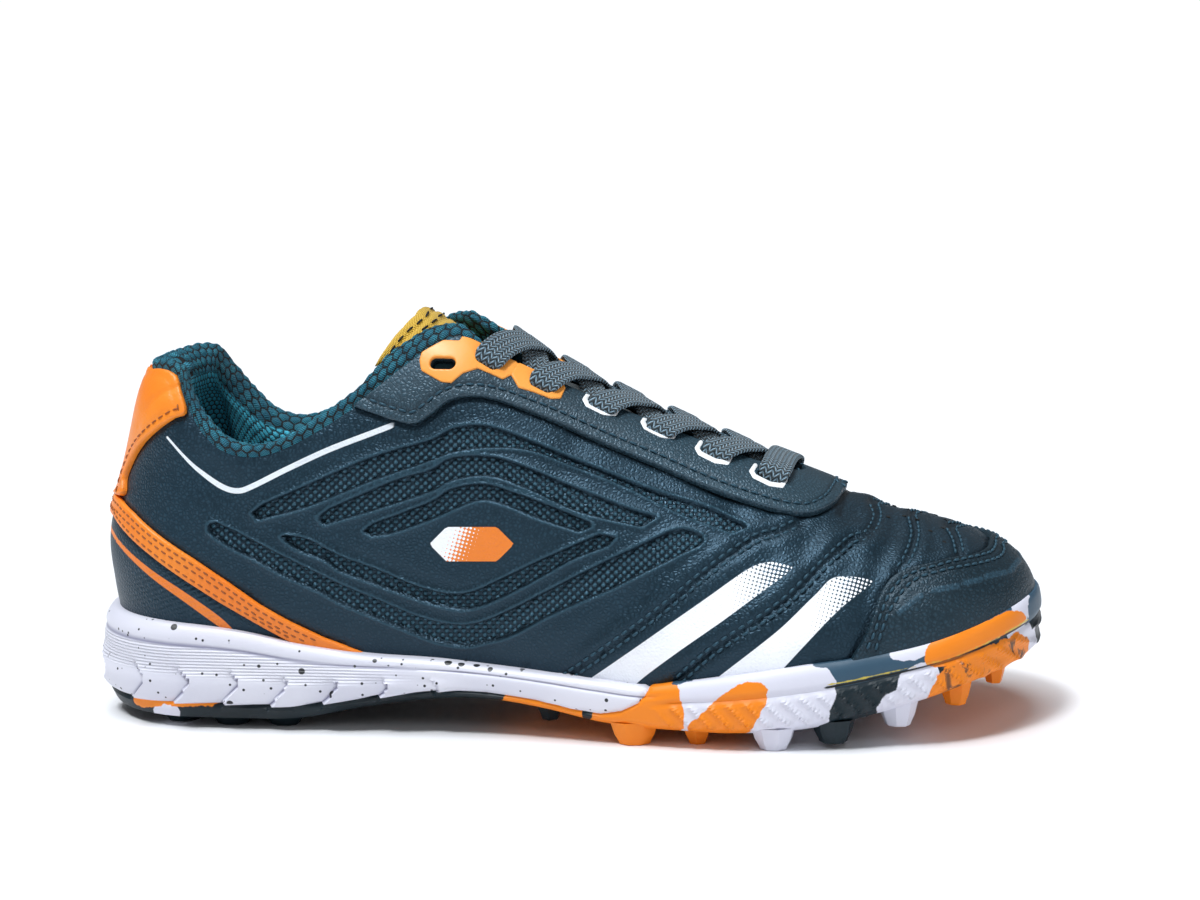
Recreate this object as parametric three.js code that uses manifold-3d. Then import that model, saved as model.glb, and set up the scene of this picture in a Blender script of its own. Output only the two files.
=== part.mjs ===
// A low-cut turf football shoe for the right foot, standing empty on its studs.
// Millimetres, +Z up, toe along +X, outer (lateral) side along -Y. The sections below are laid out along the
// last: s runs from the back of the heel to the toe. The group is shifted at the end, so that the origin is
// under the middle of the shoe, on the floor.
import * as THREE from "three";
import { mergeVertices } from "three/addons/utils/BufferGeometryUtils.js";
import Module from "manifold-3d";

const wasm = await Module();
wasm.setup();

// ---- driving dimensions ----
const HEEL_S = 34; // centre that the back of the heel is swept round
const TOE_S = 240; // centre that the toe is swept round
const HEEL_R = 31, TOE_R = 40; // mean radii, used only to space the sections round the two ends
const WALL = 2.0; // leather and lining of the upper
const GAP = 0.3; // pieces that meet
const EYESTAY_T = 1.5, GUARD_T = 1.1, TAB_T = 1.4, BAND_T = 0.9; // overlays that stand proud
const INSOLE_T = 4;
const RUBBER_SPLIT = 0.18; // half of the gap between rubber and foam
const LACE_W = 9, LACE_T = 1.5;

// ---- sections of the upper: one row for each section ----
// s: where the section stands. turn: 0 straight across, or degrees round the heel (back = 90) or round the toe (tip = 90).
// side: how far the ridge lies to the inner side. Then radius and height of five points up the section, and the ridge's height.
const COLS = ["s", "turn", "side", "r0", "z0", "r1", "z1", "r2", "z2", "r3", "z3", "r4", "z4", "crown"];
const OUTER = [
  [34, -90, 0, 27.2, 21.3, 30.0, 40, 30.4, 55, 21.6, 81, 13.4, 102, 122],
  [34, -58, 0, 26.9, 21.3, 29.6, 39, 30.3, 54, 23.4, 79, 16.6, 101, 122],
  [34, -28, 0, 26.9, 21.2, 29.4, 37, 30.3, 52, 26.4, 76, 21.2, 99, 122],
  [34, 0, 0, 27.3, 21.0, 30.0, 36, 30.6, 51, 28.5, 72, 24.5, 97, 122],
  [55, 0, 0, 28.3, 19.5, 31.0, 34, 31.5, 49, 30.0, 68, 26.5, 90, 128],
  [80, 0, 0, 29.0, 17.8, 31.8, 33, 32.3, 48, 30.5, 72, 25.5, 96, 133],
  [105, 0, 0.5, 30.5, 16.8, 33.6, 32, 34.0, 48, 31.5, 80, 21.5, 109, 126.5],
  [118, 0, 0.8, 31.8, 16.4, 35.0, 31, 35.5, 47, 32.2, 82, 20.5, 109.5, 117.5],
  [130, 0, 1, 33.5, 15.8, 36.6, 30, 37.0, 46, 33.2, 79, 19.5, 103.4, 108],
  [155, 0, 2, 38.5, 13.7, 41.6, 27, 41.5, 41, 36.2, 68.5, 19.0, 91.0, 93.6],
  [180, 0, 3, 43.0, 11.8, 46.0, 24, 45.5, 36, 38.0, 61, 18.5, 80.0, 82.4],
  [205, 0, 4, 45.5, 12.3, 48.5, 24.5, 47.3, 36.5, 37.5, 56, 18.0, 70.2, 72.6],
  [228, 0, 5, 43.5, 14.5, 46.3, 26.5, 44.3, 38, 34.0, 53, 16.0, 61.2, 63.5],
  [240, 0, 5, 40.0, 17.0, 43.0, 28.5, 41.0, 39.5, 31.0, 50.6, 13.5, 57.2, 58.8],
  [240, 24, 5, 38.2, 19.5, 41.6, 30.5, 39.3, 40.6, 30.0, 50.0, 13.0, 56.6, 58.8],
  [240, 47, 5, 36.3, 22.0, 39.6, 32.5, 37.2, 41.4, 28.4, 49.6, 12.5, 56.0, 58.8],
  [240, 70, 5, 35.0, 23.2, 38.0, 33.5, 35.3, 42.2, 27.4, 49.5, 12.0, 55.6, 58.8],
  [240, 90, 5, 34.5, 23.6, 37.4, 34.0, 34.6, 42.5, 26.8, 49.5, 11.5, 55.5, 58.8],
];
const INNER = [
  [34, -90, 0, 27.2, 21.3, 30.0, 40, 30.4, 55, 21.6, 81, 13.4, 102, 122],
  [34, -58, 0, 26.9, 21.3, 29.6, 39, 30.3, 54, 23.4, 79, 16.6, 101, 122],
  [34, -28, 0, 26.8, 21.2, 29.3, 37, 30.2, 52, 26.3, 76, 21.2, 99, 122],
  [34, 0, 0, 27.0, 21.0, 29.5, 36, 30.0, 51, 28.0, 72, 24.3, 97, 122],
  [55, 0, 0, 26.5, 19.8, 29.0, 34, 29.6, 49, 28.5, 68, 25.5, 90, 128],
  [80, 0, 0, 24.5, 18.5, 27.3, 35, 28.5, 50, 28.0, 74, 24.5, 96, 133],
  [105, 0, 0.5, 23.5, 17.6, 26.8, 36, 28.5, 52, 27.5, 80, 20.5, 109, 126.5],
  [118, 0, 0.8, 24.2, 17.0, 27.6, 35, 29.3, 51, 27.8, 81, 19.0, 109, 117.5],
  [130, 0, 1, 25.8, 16.2, 29.2, 33, 30.6, 49, 28.4, 78, 18.0, 102.4, 108],
  [155, 0, 2, 30.5, 13.9, 33.8, 28, 34.3, 43, 31.0, 67.5, 17.5, 89.6, 93.6],
  [180, 0, 3, 35.5, 11.8, 38.6, 25, 38.3, 38, 33.4, 59, 17.0, 78.6, 82.4],
  [205, 0, 4, 37.5, 12.3, 40.6, 25, 39.8, 37, 32.6, 54.5, 16.0, 69, 72.6],
  [228, 0, 5, 36.0, 14.5, 39.0, 26.5, 37.5, 38, 29.6, 52, 14.4, 60.6, 63.5],
  [240, 0, 5, 33.5, 17.0, 36.5, 28.5, 35.0, 39.5, 27.6, 50.4, 12.4, 57.0, 58.8],
  [240, 24, 5, 33.6, 19.5, 36.8, 30.5, 34.8, 40.6, 27.3, 50.0, 12.2, 56.5, 58.8],
  [240, 47, 5, 34.0, 22.0, 37.0, 32.5, 34.8, 41.4, 27.0, 49.6, 12.0, 56.0, 58.8],
  [240, 70, 5, 34.3, 23.2, 37.3, 33.5, 34.6, 42.2, 26.9, 49.5, 11.7, 55.6, 58.8],
  [240, 90, 5, 34.5, 23.6, 37.4, 34.0, 34.6, 42.5, 26.8, 49.5, 11.5, 55.5, 58.8],
];
// ---- side profile of the sole: height of the underside, of the rim, and how far the wall stands out from the upper ----
const SOLE_COLS = ["s", "under", "rim", "a0", "a1", "a2", "a3"];
const SOLE = [
  [0, 5.6, 32.2, 1.4, 4.4, 4.0, 1.0],
  [12, 4.0, 32.0, 1.8, 4.5, 4.1, 1.0],
  [30, 3.4, 31.2, 1.8, 4.4, 4.0, 1.2],
  [50, 3.4, 29.2, 1.6, 4.2, 3.8, 1.3],
  [68, 3.8, 25.8, 0.8, 3.8, 3.6, 1.4],
  [88, 7.4, 23.2, -0.4, 3.2, 3.3, 1.4],
  [110, 10.4, 22.2, -1.0, 2.6, 3.0, 1.4],
  [125, 10.8, 21.0, -1.0, 2.6, 3.0, 1.4],
  [142, 9.0, 19.8, -0.8, 2.6, 3.0, 1.4],
  [158, 6.2, 18.6, -0.6, 2.6, 3.0, 1.5],
  [171, 5.2, 17.6, -0.6, 2.8, 3.1, 1.6],
  [182, 4.8, 19.2, -0.8, 3.2, 3.3, 1.6],
  [196, 4.6, 21.4, -0.9, 3.5, 3.5, 1.6],
  [216, 5.8, 24.4, -1.0, 3.6, 3.5, 1.6],
  [233, 8.6, 26.4, -1.2, 3.6, 3.5, 1.7],
  [248, 12.4, 29.2, -1.6, 3.4, 3.5, 1.8],
  [262, 15.6, 33.0, -2.6, 2.9, 3.4, 2.0],
  [272, 17.4, 36.0, -3.8, 2.4, 3.2, 2.0],
  [280, 19.0, 38.0, -4.6, 2.0, 3.0, 2.0],
];
// ---- lines seen from the side, as s and height ----
// edge of the leather round the ankle, from behind the heel to the top of the lacing
const COLLAR = [[-6, 102.4], [20, 103.2], [28, 104.4], [33, 102.4], [36.2, 95.8], [41, 88], [47, 82.8], [56, 80.9], [66, 83.4], [80, 90.8], [93, 99.6], [101, 105.4], [108, 110], [116, 113.2], [124, 112.6], [129, 110.2]];
// how far the padding stands above that edge
const ROLL = [[20, 2.4], [30, 2.6], [37, 4.6], [42, 4.4], [48, 2.4], [56, 1.6], [66, 1.6], [78, 3], [92, 4], [112, 3.8], [124, 2.4]];
// lower edge of the lace facing, ending in its round front
const FACING = [[86, 95], [93, 92.8], [98.5, 91.2], [105, 90.1], [110, 92.8], [115.5, 96.6], [122, 97.5], [130, 95.7], [144.2, 89.9], [158.8, 83.2], [173.3, 77.1], [188, 70.7], [202.4, 65.6], [210, 63.4], [216, 62.4], [220, 62.7], [223.2, 64], [224.4, 66.2]];
// back edge of the guard round the toe, seen from above, as s and distance off the ridge
const GUARD = [[232.4, 52], [233, 44.4], [236.7, 40.7], [239, 37.6], [242, 33.8], [245.3, 29.8], [252, 25.9], [258.8, 20], [263.4, 12.5], [265.4, 4]];
// front and lower edge of the heel tab
const TAB = [[31, 108], [33.4, 101], [36.5, 93.3], [32.8, 91.3], [27.7, 88.1], [22, 83.5], [17.4, 78.4], [13.7, 72.2], [12, 66.3], [-8, 66.3]];
// upper and lower edge of the band round the heel
const BAND_TOP = [[-8, 65.9], [8, 65.9], [12, 65.4], [18, 62.8], [27.3, 57], [37.7, 50.6], [47.8, 44], [57.2, 37.4], [66, 32.4], [76, 27.6], [88, 23.2]];
const BAND_LOW = [[-8, 60.4], [9.4, 60.1], [15, 56.9], [24.5, 51.1], [35, 44.2], [44.7, 38.1], [56.6, 31.3], [66, 26], [72, 22]];
// line where rubber ends and foam begins
const SPLIT = [[-8, 9.6], [3, 8.4], [15, 7.9], [34, 7.9], [66, 7.6], [80, 9.2], [96, 11.6], [106, 12.8], [116, 13.6], [125, 13.6], [140, 12.0], [150, 10.0], [158.6, 9.2], [165, 10.4], [170, 13], [172.6, 16], [173.6, 19], [174.2, 60]];
// ---- seen from above: half width of the throat, half width of the tongue, and the tongue's back edge ----
const THROAT = [[112, 17.5], [122, 17], [140, 15], [160, 13], [180, 11.5], [198, 10.4], [205, 9], [209, 6.4], [211.4, 3]];
const TONGUE = [[85.5, 16.5], [88.5, 18], [96, 20], [112, 20.5], [130, 20.5], [145, 21], [170, 20.5], [195, 18], [212, 15.5], [217, 12]];
const TONGUE_BACK = [[85.5, 16.5], [89.5, 14.5], [95, 11.5], [100, 7.5], [102.6, 2.5]];
// lace holes: s, distance from the ridge, and whether a lace runs through it
const HOLES = [
  { s: 112.9, off: 23.8, laced: false },
  { s: 124.4, off: 20.8, laced: true },
  { s: 139.6, off: 19.6, laced: true },
  { s: 156, off: 17.8, laced: true },
  { s: 172.4, off: 16.9, laced: true },
  { s: 188.4, off: 16.9, laced: true },
  { s: 204.2, off: 17, laced: true },
];
const HOLE_L = 7, HOLE_W = 3.2;

// ---- interpolation ----
const clamp = (x, a, b) => Math.min(b, Math.max(a, x));
// smooth curve through (x[i], y[i]), tangents from the neighbours
function cubicAt(xs, ys, x) {
  const n = xs.length;
  if (x <= xs[0]) return ys[0];
  if (x >= xs[n - 1]) return ys[n - 1];
  let i = 0;
  while (x > xs[i + 1]) i++;
  const h = xs[i + 1] - xs[i], u = (x - xs[i]) / h;
  const slope = (k) =>
    k <= 0 ? (ys[1] - ys[0]) / (xs[1] - xs[0])
      : k >= n - 1 ? (ys[n - 1] - ys[n - 2]) / (xs[n - 1] - xs[n - 2])
      : (ys[k + 1] - ys[k - 1]) / (xs[k + 1] - xs[k - 1]);
  const m0 = slope(i) * h, m1 = slope(i + 1) * h;
  const u2 = u * u, u3 = u2 * u;
  return (2 * u3 - 3 * u2 + 1) * ys[i] + (u3 - 2 * u2 + u) * m0 + (-2 * u3 + 3 * u2) * ys[i + 1] + (u3 - u2) * m1;
}
function linearAt(xs, ys, x) {
  const n = xs.length;
  if (x <= xs[0]) return ys[0];
  if (x >= xs[n - 1]) return ys[n - 1];
  let i = 0;
  while (x > xs[i + 1]) i++;
  return ys[i] + ((ys[i + 1] - ys[i]) * (x - xs[i])) / (xs[i + 1] - xs[i]);
}
const lineAt = (line, s) => cubicAt(line.map((p) => p[0]), line.map((p) => p[1]), s);

// distance along the outline at each row: round the heel, straight, then round the toe
function stationsOf(rows) {
  const t = [];
  rows.forEach((r, i) => {
    if (i === 0) return t.push(0);
    const p = rows[i - 1];
    const round = (r[0] === TOE_S && p[0] === TOE_S ? TOE_R : HEEL_R) * THREE.MathUtils.degToRad(Math.abs(r[1] - p[1]));
    t.push(t[i - 1] + (r[0] - p[0]) + (r[0] === p[0] ? round : 0));
  });
  return t;
}
const SIDES = {
  outer: { rows: OUTER, t: stationsOf(OUTER), sign: -1 },
  inner: { rows: INNER, t: stationsOf(INNER), sign: 1 },
};
const T_END = SIDES.outer.t[SIDES.outer.t.length - 1];

// one section at t: where it stands, which way it faces, and its points
function section(side, t) {
  const { rows, t: ts, sign } = SIDES[side];
  const col = (name) => rows.map((r) => r[COLS.indexOf(name)]);
  const s = linearAt(ts, col("s"), t);
  const turn = THREE.MathUtils.degToRad(linearAt(ts, col("turn"), t));
  // the two ends are swept round one upright line, so the ridge's place and height don't change there
  const ridge = clamp(t, ts[rows.findIndex((r) => r[1] === 0)], ts[rows.findIndex((r) => r[0] === TOE_S)]);
  const y0 = cubicAt(ts, col("side"), ridge);
  const dir = new THREE.Vector2(Math.sin(turn), sign * Math.cos(turn));
  const pts = [0, 1, 2, 3, 4].map((k) => new THREE.Vector2(cubicAt(ts, col("r" + k), t), cubicAt(ts, col("z" + k), t)));
  pts.push(new THREE.Vector2(0, cubicAt(ts, col("crown"), ridge)));
  return { s, y0, dir, pts };
}
// point number v (0 at the sole, 5 at the ridge) up a section, on a smooth curve through its points
function upSection(pts, v) {
  const n = pts.length;
  const at = (i) =>
    i < 0 ? pts[0].clone().multiplyScalar(2).sub(pts[1])
      : i >= n ? new THREE.Vector2(-pts[n - 2].x, pts[n - 2].y)
      : pts[i];
  const i = clamp(Math.floor(v), 0, n - 2), u = v - i;
  const p = [at(i - 1), at(i), at(i + 1), at(i + 2)];
  const k = [0];
  for (let j = 0; j < 3; j++) k.push(k[j] + Math.sqrt(Math.max(p[j].distanceTo(p[j + 1]), 1e-6)));
  const x = k[1] + (k[2] - k[1]) * u;
  const mix = (a, b, ka, kb) => a.clone().multiplyScalar((kb - x) / (kb - ka)).add(b.clone().multiplyScalar((x - ka) / (kb - ka)));
  const a1 = mix(p[0], p[1], k[0], k[1]), a2 = mix(p[1], p[2], k[1], k[2]), a3 = mix(p[2], p[3], k[2], k[3]);
  const b1 = mix(a1, a2, k[0], k[2]), b2 = mix(a2, a3, k[1], k[3]);
  return mix(b1, b2, k[1], k[2]);
}
const place = (sec, r, z) => new THREE.Vector3(sec.s + sec.dir.x * r, sec.y0 + sec.dir.y * r, z);

// height of the feather edge in the middle of the foot; one height all round each of the two ends
const footMid = (t) => {
  const straight = clamp(t, SIDES.outer.t[3], SIDES.outer.t[OUTER.findIndex((r) => r[0] === TOE_S)]);
  return (section("outer", straight).pts[0].y + section("inner", straight).pts[0].y) / 2;
};

// where the sections are taken, and how finely each is divided
function stations(step) {
  const ts = [];
  const heel = (HEEL_R * Math.PI) / 2, toe = T_END - (TOE_R * Math.PI) / 2;
  const parts = [[0, heel, Math.round(heel / (step * 0.8))], [heel, toe, Math.round((toe - heel) / step)], [toe, T_END, Math.round((T_END - toe) / (step * 0.85))]];
  for (const [a, b, n] of parts) for (let i = 0; i < n; i++) ts.push(a + ((b - a) * i) / n);
  ts.push(T_END);
  return ts;
}
const UP = [0, 0.6, 1.2, 1.8, 2.4, 3, 3.5, 4, 4.5, 5];

// a closed surface from rings of points, one ring for each section all the way round
function closedFromRings(rings, offset) {
  const pos = [], n = rings.length, m = rings[0].length;
  const exact = (v) => Math.round(v * 1e3) / 1e3;
  rings.forEach((ring) => ring.forEach((p) => pos.push(exact(p.x), exact(p.y), exact(p.z))));
  const idx = [];
  for (let i = 0; i < n; i++) {
    const j = (i + 1) % n;
    for (let k = 0; k < m - 1; k++) {
      const a = i * m + k, b = j * m + k, c = j * m + k + 1, d = i * m + k + 1;
      idx.push(a, b, c, a, c, d);
    }
  }
  let g = new THREE.BufferGeometry();
  g.setAttribute("position", new THREE.Float32BufferAttribute(pos, 3));
  g.setIndex(idx);
  g = mergeVertices(g, 1e-5);
  const src = g.index.array, keep = [];
  for (let i = 0; i < src.length; i += 3) if (src[i] !== src[i + 1] && src[i + 1] !== src[i + 2] && src[i] !== src[i + 2]) keep.push(src[i], src[i + 1], src[i + 2]);
  g.setIndex(keep);
  g.computeVertexNormals();
  if (offset) {
    const P = g.attributes.position, N = g.attributes.normal;
    for (let i = 0; i < P.count; i++) {
      const d = typeof offset === "function" ? offset(P.getX(i), P.getY(i), P.getZ(i)) : offset;
      P.setXYZ(i, P.getX(i) + N.getX(i) * d, P.getY(i) + N.getY(i) * d, P.getZ(i) + N.getZ(i) * d);
    }
  }
  g.deleteAttribute("normal");
  return g;
}
function solid(g) {
  const m = g.index ? g : mergeVertices(g, 1e-4);
  let s = new wasm.Manifold(new wasm.Mesh({ numProp: 3, vertProperties: new Float32Array(m.attributes.position.array), triVerts: new Uint32Array(m.index.array) }));
  if (s.volume() < 0) {
    const t = Uint32Array.from(m.index.array);
    for (let i = 0; i < t.length; i += 3) [t[i + 1], t[i + 2]] = [t[i + 2], t[i + 1]];
    s = new wasm.Manifold(new wasm.Mesh({ numProp: 3, vertProperties: new Float32Array(m.attributes.position.array), triVerts: t }));
  }
  return s;
}
const plain = (g) => {
  g.deleteAttribute("normal");
  g.deleteAttribute("uv");
  return mergeVertices(g, 1e-4);
};

// all the sections round the shoe: outer side from heel to toe, inner side back from toe to heel
function aroundShoe(make, step) {
  const ts = stations(step);
  const rings = ts.map((t) => make("outer", t));
  for (const t of ts.slice(1, -1).reverse()) rings.push(make("inner", t));
  return rings;
}
// the last's own form: everything inside the outer face of the leather, moved out by d, down to `drop` under the feather edge
function form(d, drop = 0, step = 18) {
  const rings = aroundShoe((side, t) => {
    const sec = section(side, t);
    const foot = sec.pts[0];
    const ring = [place(sec, 0, footMid(t) - drop), place(sec, foot.x * 0.6, foot.y * 0.6 + footMid(t) * 0.4 - drop), place(sec, foot.x, foot.y - drop)];
    for (const v of drop ? UP : UP.slice(1)) {
      const p = upSection(sec.pts, v);
      ring.push(place(sec, v === 5 ? 0 : p.x, p.y));
    }
    return ring;
  }, step);
  return solid(closedFromRings(rings, d && ((x, y, z) => (typeof d === "function" ? d(x, y, z) : d))));
}

// ---- cutters ----
function sideShape(points, width = 160) {
  const g = new THREE.ExtrudeGeometry(new THREE.Shape(points.map((p) => new THREE.Vector2(p[0], p[1]))), { depth: width, bevelEnabled: false });
  g.rotateX(Math.PI / 2);
  g.translate(0, width / 2, 0);
  return solid(plain(g));
}
function planShape(points, z0, z1) {
  const g = new THREE.ExtrudeGeometry(new THREE.Shape(points.map((p) => new THREE.Vector2(p[0], p[1]))), { depth: z1 - z0, bevelEnabled: false });
  g.translate(0, 0, z0);
  return solid(plain(g));
}
const ridgeY = (s) => {
  const side = SIDES.outer, t = side.t[3] + (clamp(s, HEEL_S, TOE_S) - HEEL_S);
  return cubicAt(side.t, side.rows.map((r) => r[2]), t);
};
const mirrored = (half) => [
  ...half.map(([s, w]) => [s, ridgeY(s) - w]),
  ...[...half].reverse().map(([s, w]) => [s, ridgeY(s) + w]),
];
const shift = (line, ds, dz) => line.map(([s, z]) => [s + ds, z + dz]);
const aboveLine = (line, dz = 0) => sideShape([...shift(line, 0, dz), [line[line.length - 1][0], 150], [line[0][0], 150]]);

// ---- the upper ----
const outside = form(0);
const inside = form(-WALL, 8);
const ankleCut = aboveLine(COLLAR);
const throatCut = planShape(mirrored([[100, 17.5], ...THROAT]), 45, 150);

// a point on the outer face, by s along the straight part and distance off the ridge, with the outward direction
function onFace(side, s, off) {
  const t = SIDES[side].t[3] + (s - HEEL_S);
  const sec = section(side, t);
  let lo = 3, hi = 5;
  for (let i = 0; i < 40; i++) {
    const mid = (lo + hi) / 2;
    if (upSection(sec.pts, mid).x > off) lo = mid;
    else hi = mid;
  }
  const p = upSection(sec.pts, lo), q = upSection(sec.pts, lo + 0.02);
  const here = place(sec, p.x, p.y);
  const up = place(sec, q.x, q.y).sub(here).normalize();
  const next = section(side, t + 1);
  const pn = upSection(next.pts, lo);
  const along = place(next, pn.x, pn.y).sub(here).normalize();
  const out = new THREE.Vector3().crossVectors(along, up).multiplyScalar(side === "outer" ? -1 : 1).normalize();
  if (out.z < 0) out.negate();
  return { here, along, up: new THREE.Vector3().crossVectors(out, along).normalize(), out };
}
// a six-sided slot through the leather at each lace hole
function slotAt(side, hole) {
  const f = onFace(side, hole.s, hole.off);
  const h = HOLE_L / 2, w = HOLE_W / 2, c = 1.3;
  const shape = new THREE.Shape([[-h, 0], [-h + c, -w], [h - c, -w], [h, 0], [h - c, w], [-h + c, w]].map((p) => new THREE.Vector2(...p)));
  const g = new THREE.ExtrudeGeometry(shape, { depth: 9, bevelEnabled: false });
  g.translate(0, 0, -5);
  const y = new THREE.Vector3().crossVectors(f.out, f.along).normalize();
  g.applyMatrix4(new THREE.Matrix4().makeBasis(f.along, y, f.out).setPosition(f.here));
  return solid(plain(g));
}
let slots = null;
for (const side of ["outer", "inner"]) for (const h of HOLES) slots = slots ? slots.add(slotAt(side, h)) : slotAt(side, h);

const shellBelowEdge = outside.subtract(inside).subtract(ankleCut).subtract(throatCut);
const upper = shellBelowEdge.subtract(slots);

// ---- overlays, each cut between two larger forms ----
const around = (t) => form(GAP + t).subtract(form(GAP));
const facingRegion = sideShape([...FACING, [225.6, 150], [119, 150], ...[...COLLAR].reverse().filter((p) => p[0] > 84 && p[0] < 120)]);
const eyestay = around(EYESTAY_T).intersect(facingRegion).subtract(throatCut).subtract(ankleCut).subtract(slots);

const soleTable = (s, name) => cubicAt(SOLE.map((r) => r[0]), SOLE.map((r) => r[SOLE_COLS.indexOf(name)]), s);
const rimLine = SOLE.map((r) => [r[0], r[2] + 0.7]);
const belowRim = sideShape([[-20, -5], [300, -5], [300, 38.8], ...[...rimLine].reverse(), [-20, rimLine[0][1]]]);
const guardRegion = planShape([...GUARD.map(([s, w]) => [s, ridgeY(s) - w]), ...[...GUARD].reverse().map(([s, w]) => [s, ridgeY(s) + w]), [300, 60], [300, -60]], 10, 100);
const toeGuard = around(GUARD_T).intersect(guardRegion).subtract(belowRim);
const tabRegion = sideShape([...TAB, [-8, 150], [30.6, 150]]);
const heelTab = around(TAB_T).intersect(tabRegion).subtract(aboveLine(COLLAR, -0.2));
const bandRegion = sideShape([...BAND_LOW, ...[...BAND_TOP].reverse()]);
const band = around(BAND_T).intersect(bandRegion).subtract(belowRim);

// ---- padded collar: inside the leather, and rolled over its edge ----
const padDepth = (x) => linearAt([30, 60, 78, 92, 110], [10.2, 9.2, 6.6, 5, 4.6], x);
const padInner = form((x) => -padDepth(x), 8);
const strip = (low, toS) => {
  const line = COLLAR.filter((p) => p[0] <= toS);
  return sideShape([...line.map(([s, z]) => [s, z + low]), ...[...line].reverse().map(([s, z]) => [s, z + lineAt(ROLL, s)])]);
};
const throatNarrow = planShape(mirrored([[96, 12.4], [112, 12.2], [124, 12], [140, 12]]), 45, 150);
const collar = form(-WALL - 2 * GAP).subtract(padInner).intersect(strip(-24, 124))
  .add(form(-GAP).subtract(form(-WALL - 2.4 * GAP)).intersect(strip(GAP, 124)))
  .subtract(throatNarrow);

// ---- tongue: a padded strip just under the lacing, clear of the collar ----
const tongueDepth = (x) => linearAt([127, 146], [5.9, 2.7], x);
const tongueRegion = planShape([
  ...TONGUE.map(([s, w]) => [s, ridgeY(s) - w]),
  ...[...TONGUE].reverse().map(([s, w]) => [s, ridgeY(s) + w]),
  ...TONGUE_BACK.slice(1).map(([s, w]) => [s, ridgeY(s) + w]),
  ...[...TONGUE_BACK].slice(1).reverse().map(([s, w]) => [s, ridgeY(s) - w]),
], 45, 150);
const tongue = form((x) => -tongueDepth(x), 8).subtract(form((x) => -tongueDepth(x) - 4.6, 9)).intersect(tongueRegion);

// ---- sole ----
const soleForm = (() => {
  const rings = aroundShoe((side, t) => {
    const sec = section(side, t);
    const tip = sec.s + sec.dir.x * sec.pts[1].x;
    const s = clamp(tip, 0, 280);
    const under = soleTable(s, "under"), rim = soleTable(s, "rim"), h = rim - under, r = sec.pts[1].x;
    const a = ["a0", "a1", "a2", "a3"].map((n) => soleTable(s, n));
    const inUnder = soleTable(clamp(sec.s + sec.dir.x * sec.pts[1].x * 0.55, 0, 280), "under");
    return [
      place(sec, 0, soleTable(clamp(sec.s, 0, 280), "under")),
      place(sec, r * 0.55, inUnder),
      place(sec, r + a[0], under),
      place(sec, r + a[1] * 0.8, under + h * 0.16),
      place(sec, r + a[1], under + h * 0.36),
      place(sec, r + a[2], under + h * 0.66),
      place(sec, r + a[2] * 0.72 + a[3] * 0.28, under + h * 0.88),
      place(sec, r + a[3], rim),
      place(sec, r * 0.5, rim + 0.4),
      place(sec, 0, soleTable(clamp(sec.s, 0, 280), "rim") + 0.4),
    ];
  }, 19);
  return solid(closedFromRings(rings));
})();
const cup = form(GAP, GAP);
const soleBody = soleForm.subtract(cup);
const rubberSide = sideShape([[-30, -20], ...shift(SPLIT.slice(0, 1), -22, -RUBBER_SPLIT), ...shift(SPLIT.slice(0, 11), 0, -RUBBER_SPLIT), ...shift(SPLIT.slice(11), RUBBER_SPLIT, -RUBBER_SPLIT), [310, 60], [310, -20]]);
const foamSide = sideShape([[-30, 60], ...shift(SPLIT.slice(0, 1), -22, RUBBER_SPLIT), ...shift(SPLIT.slice(0, 11), 0, RUBBER_SPLIT), ...shift(SPLIT.slice(11), -RUBBER_SPLIT, RUBBER_SPLIT)]);

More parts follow.
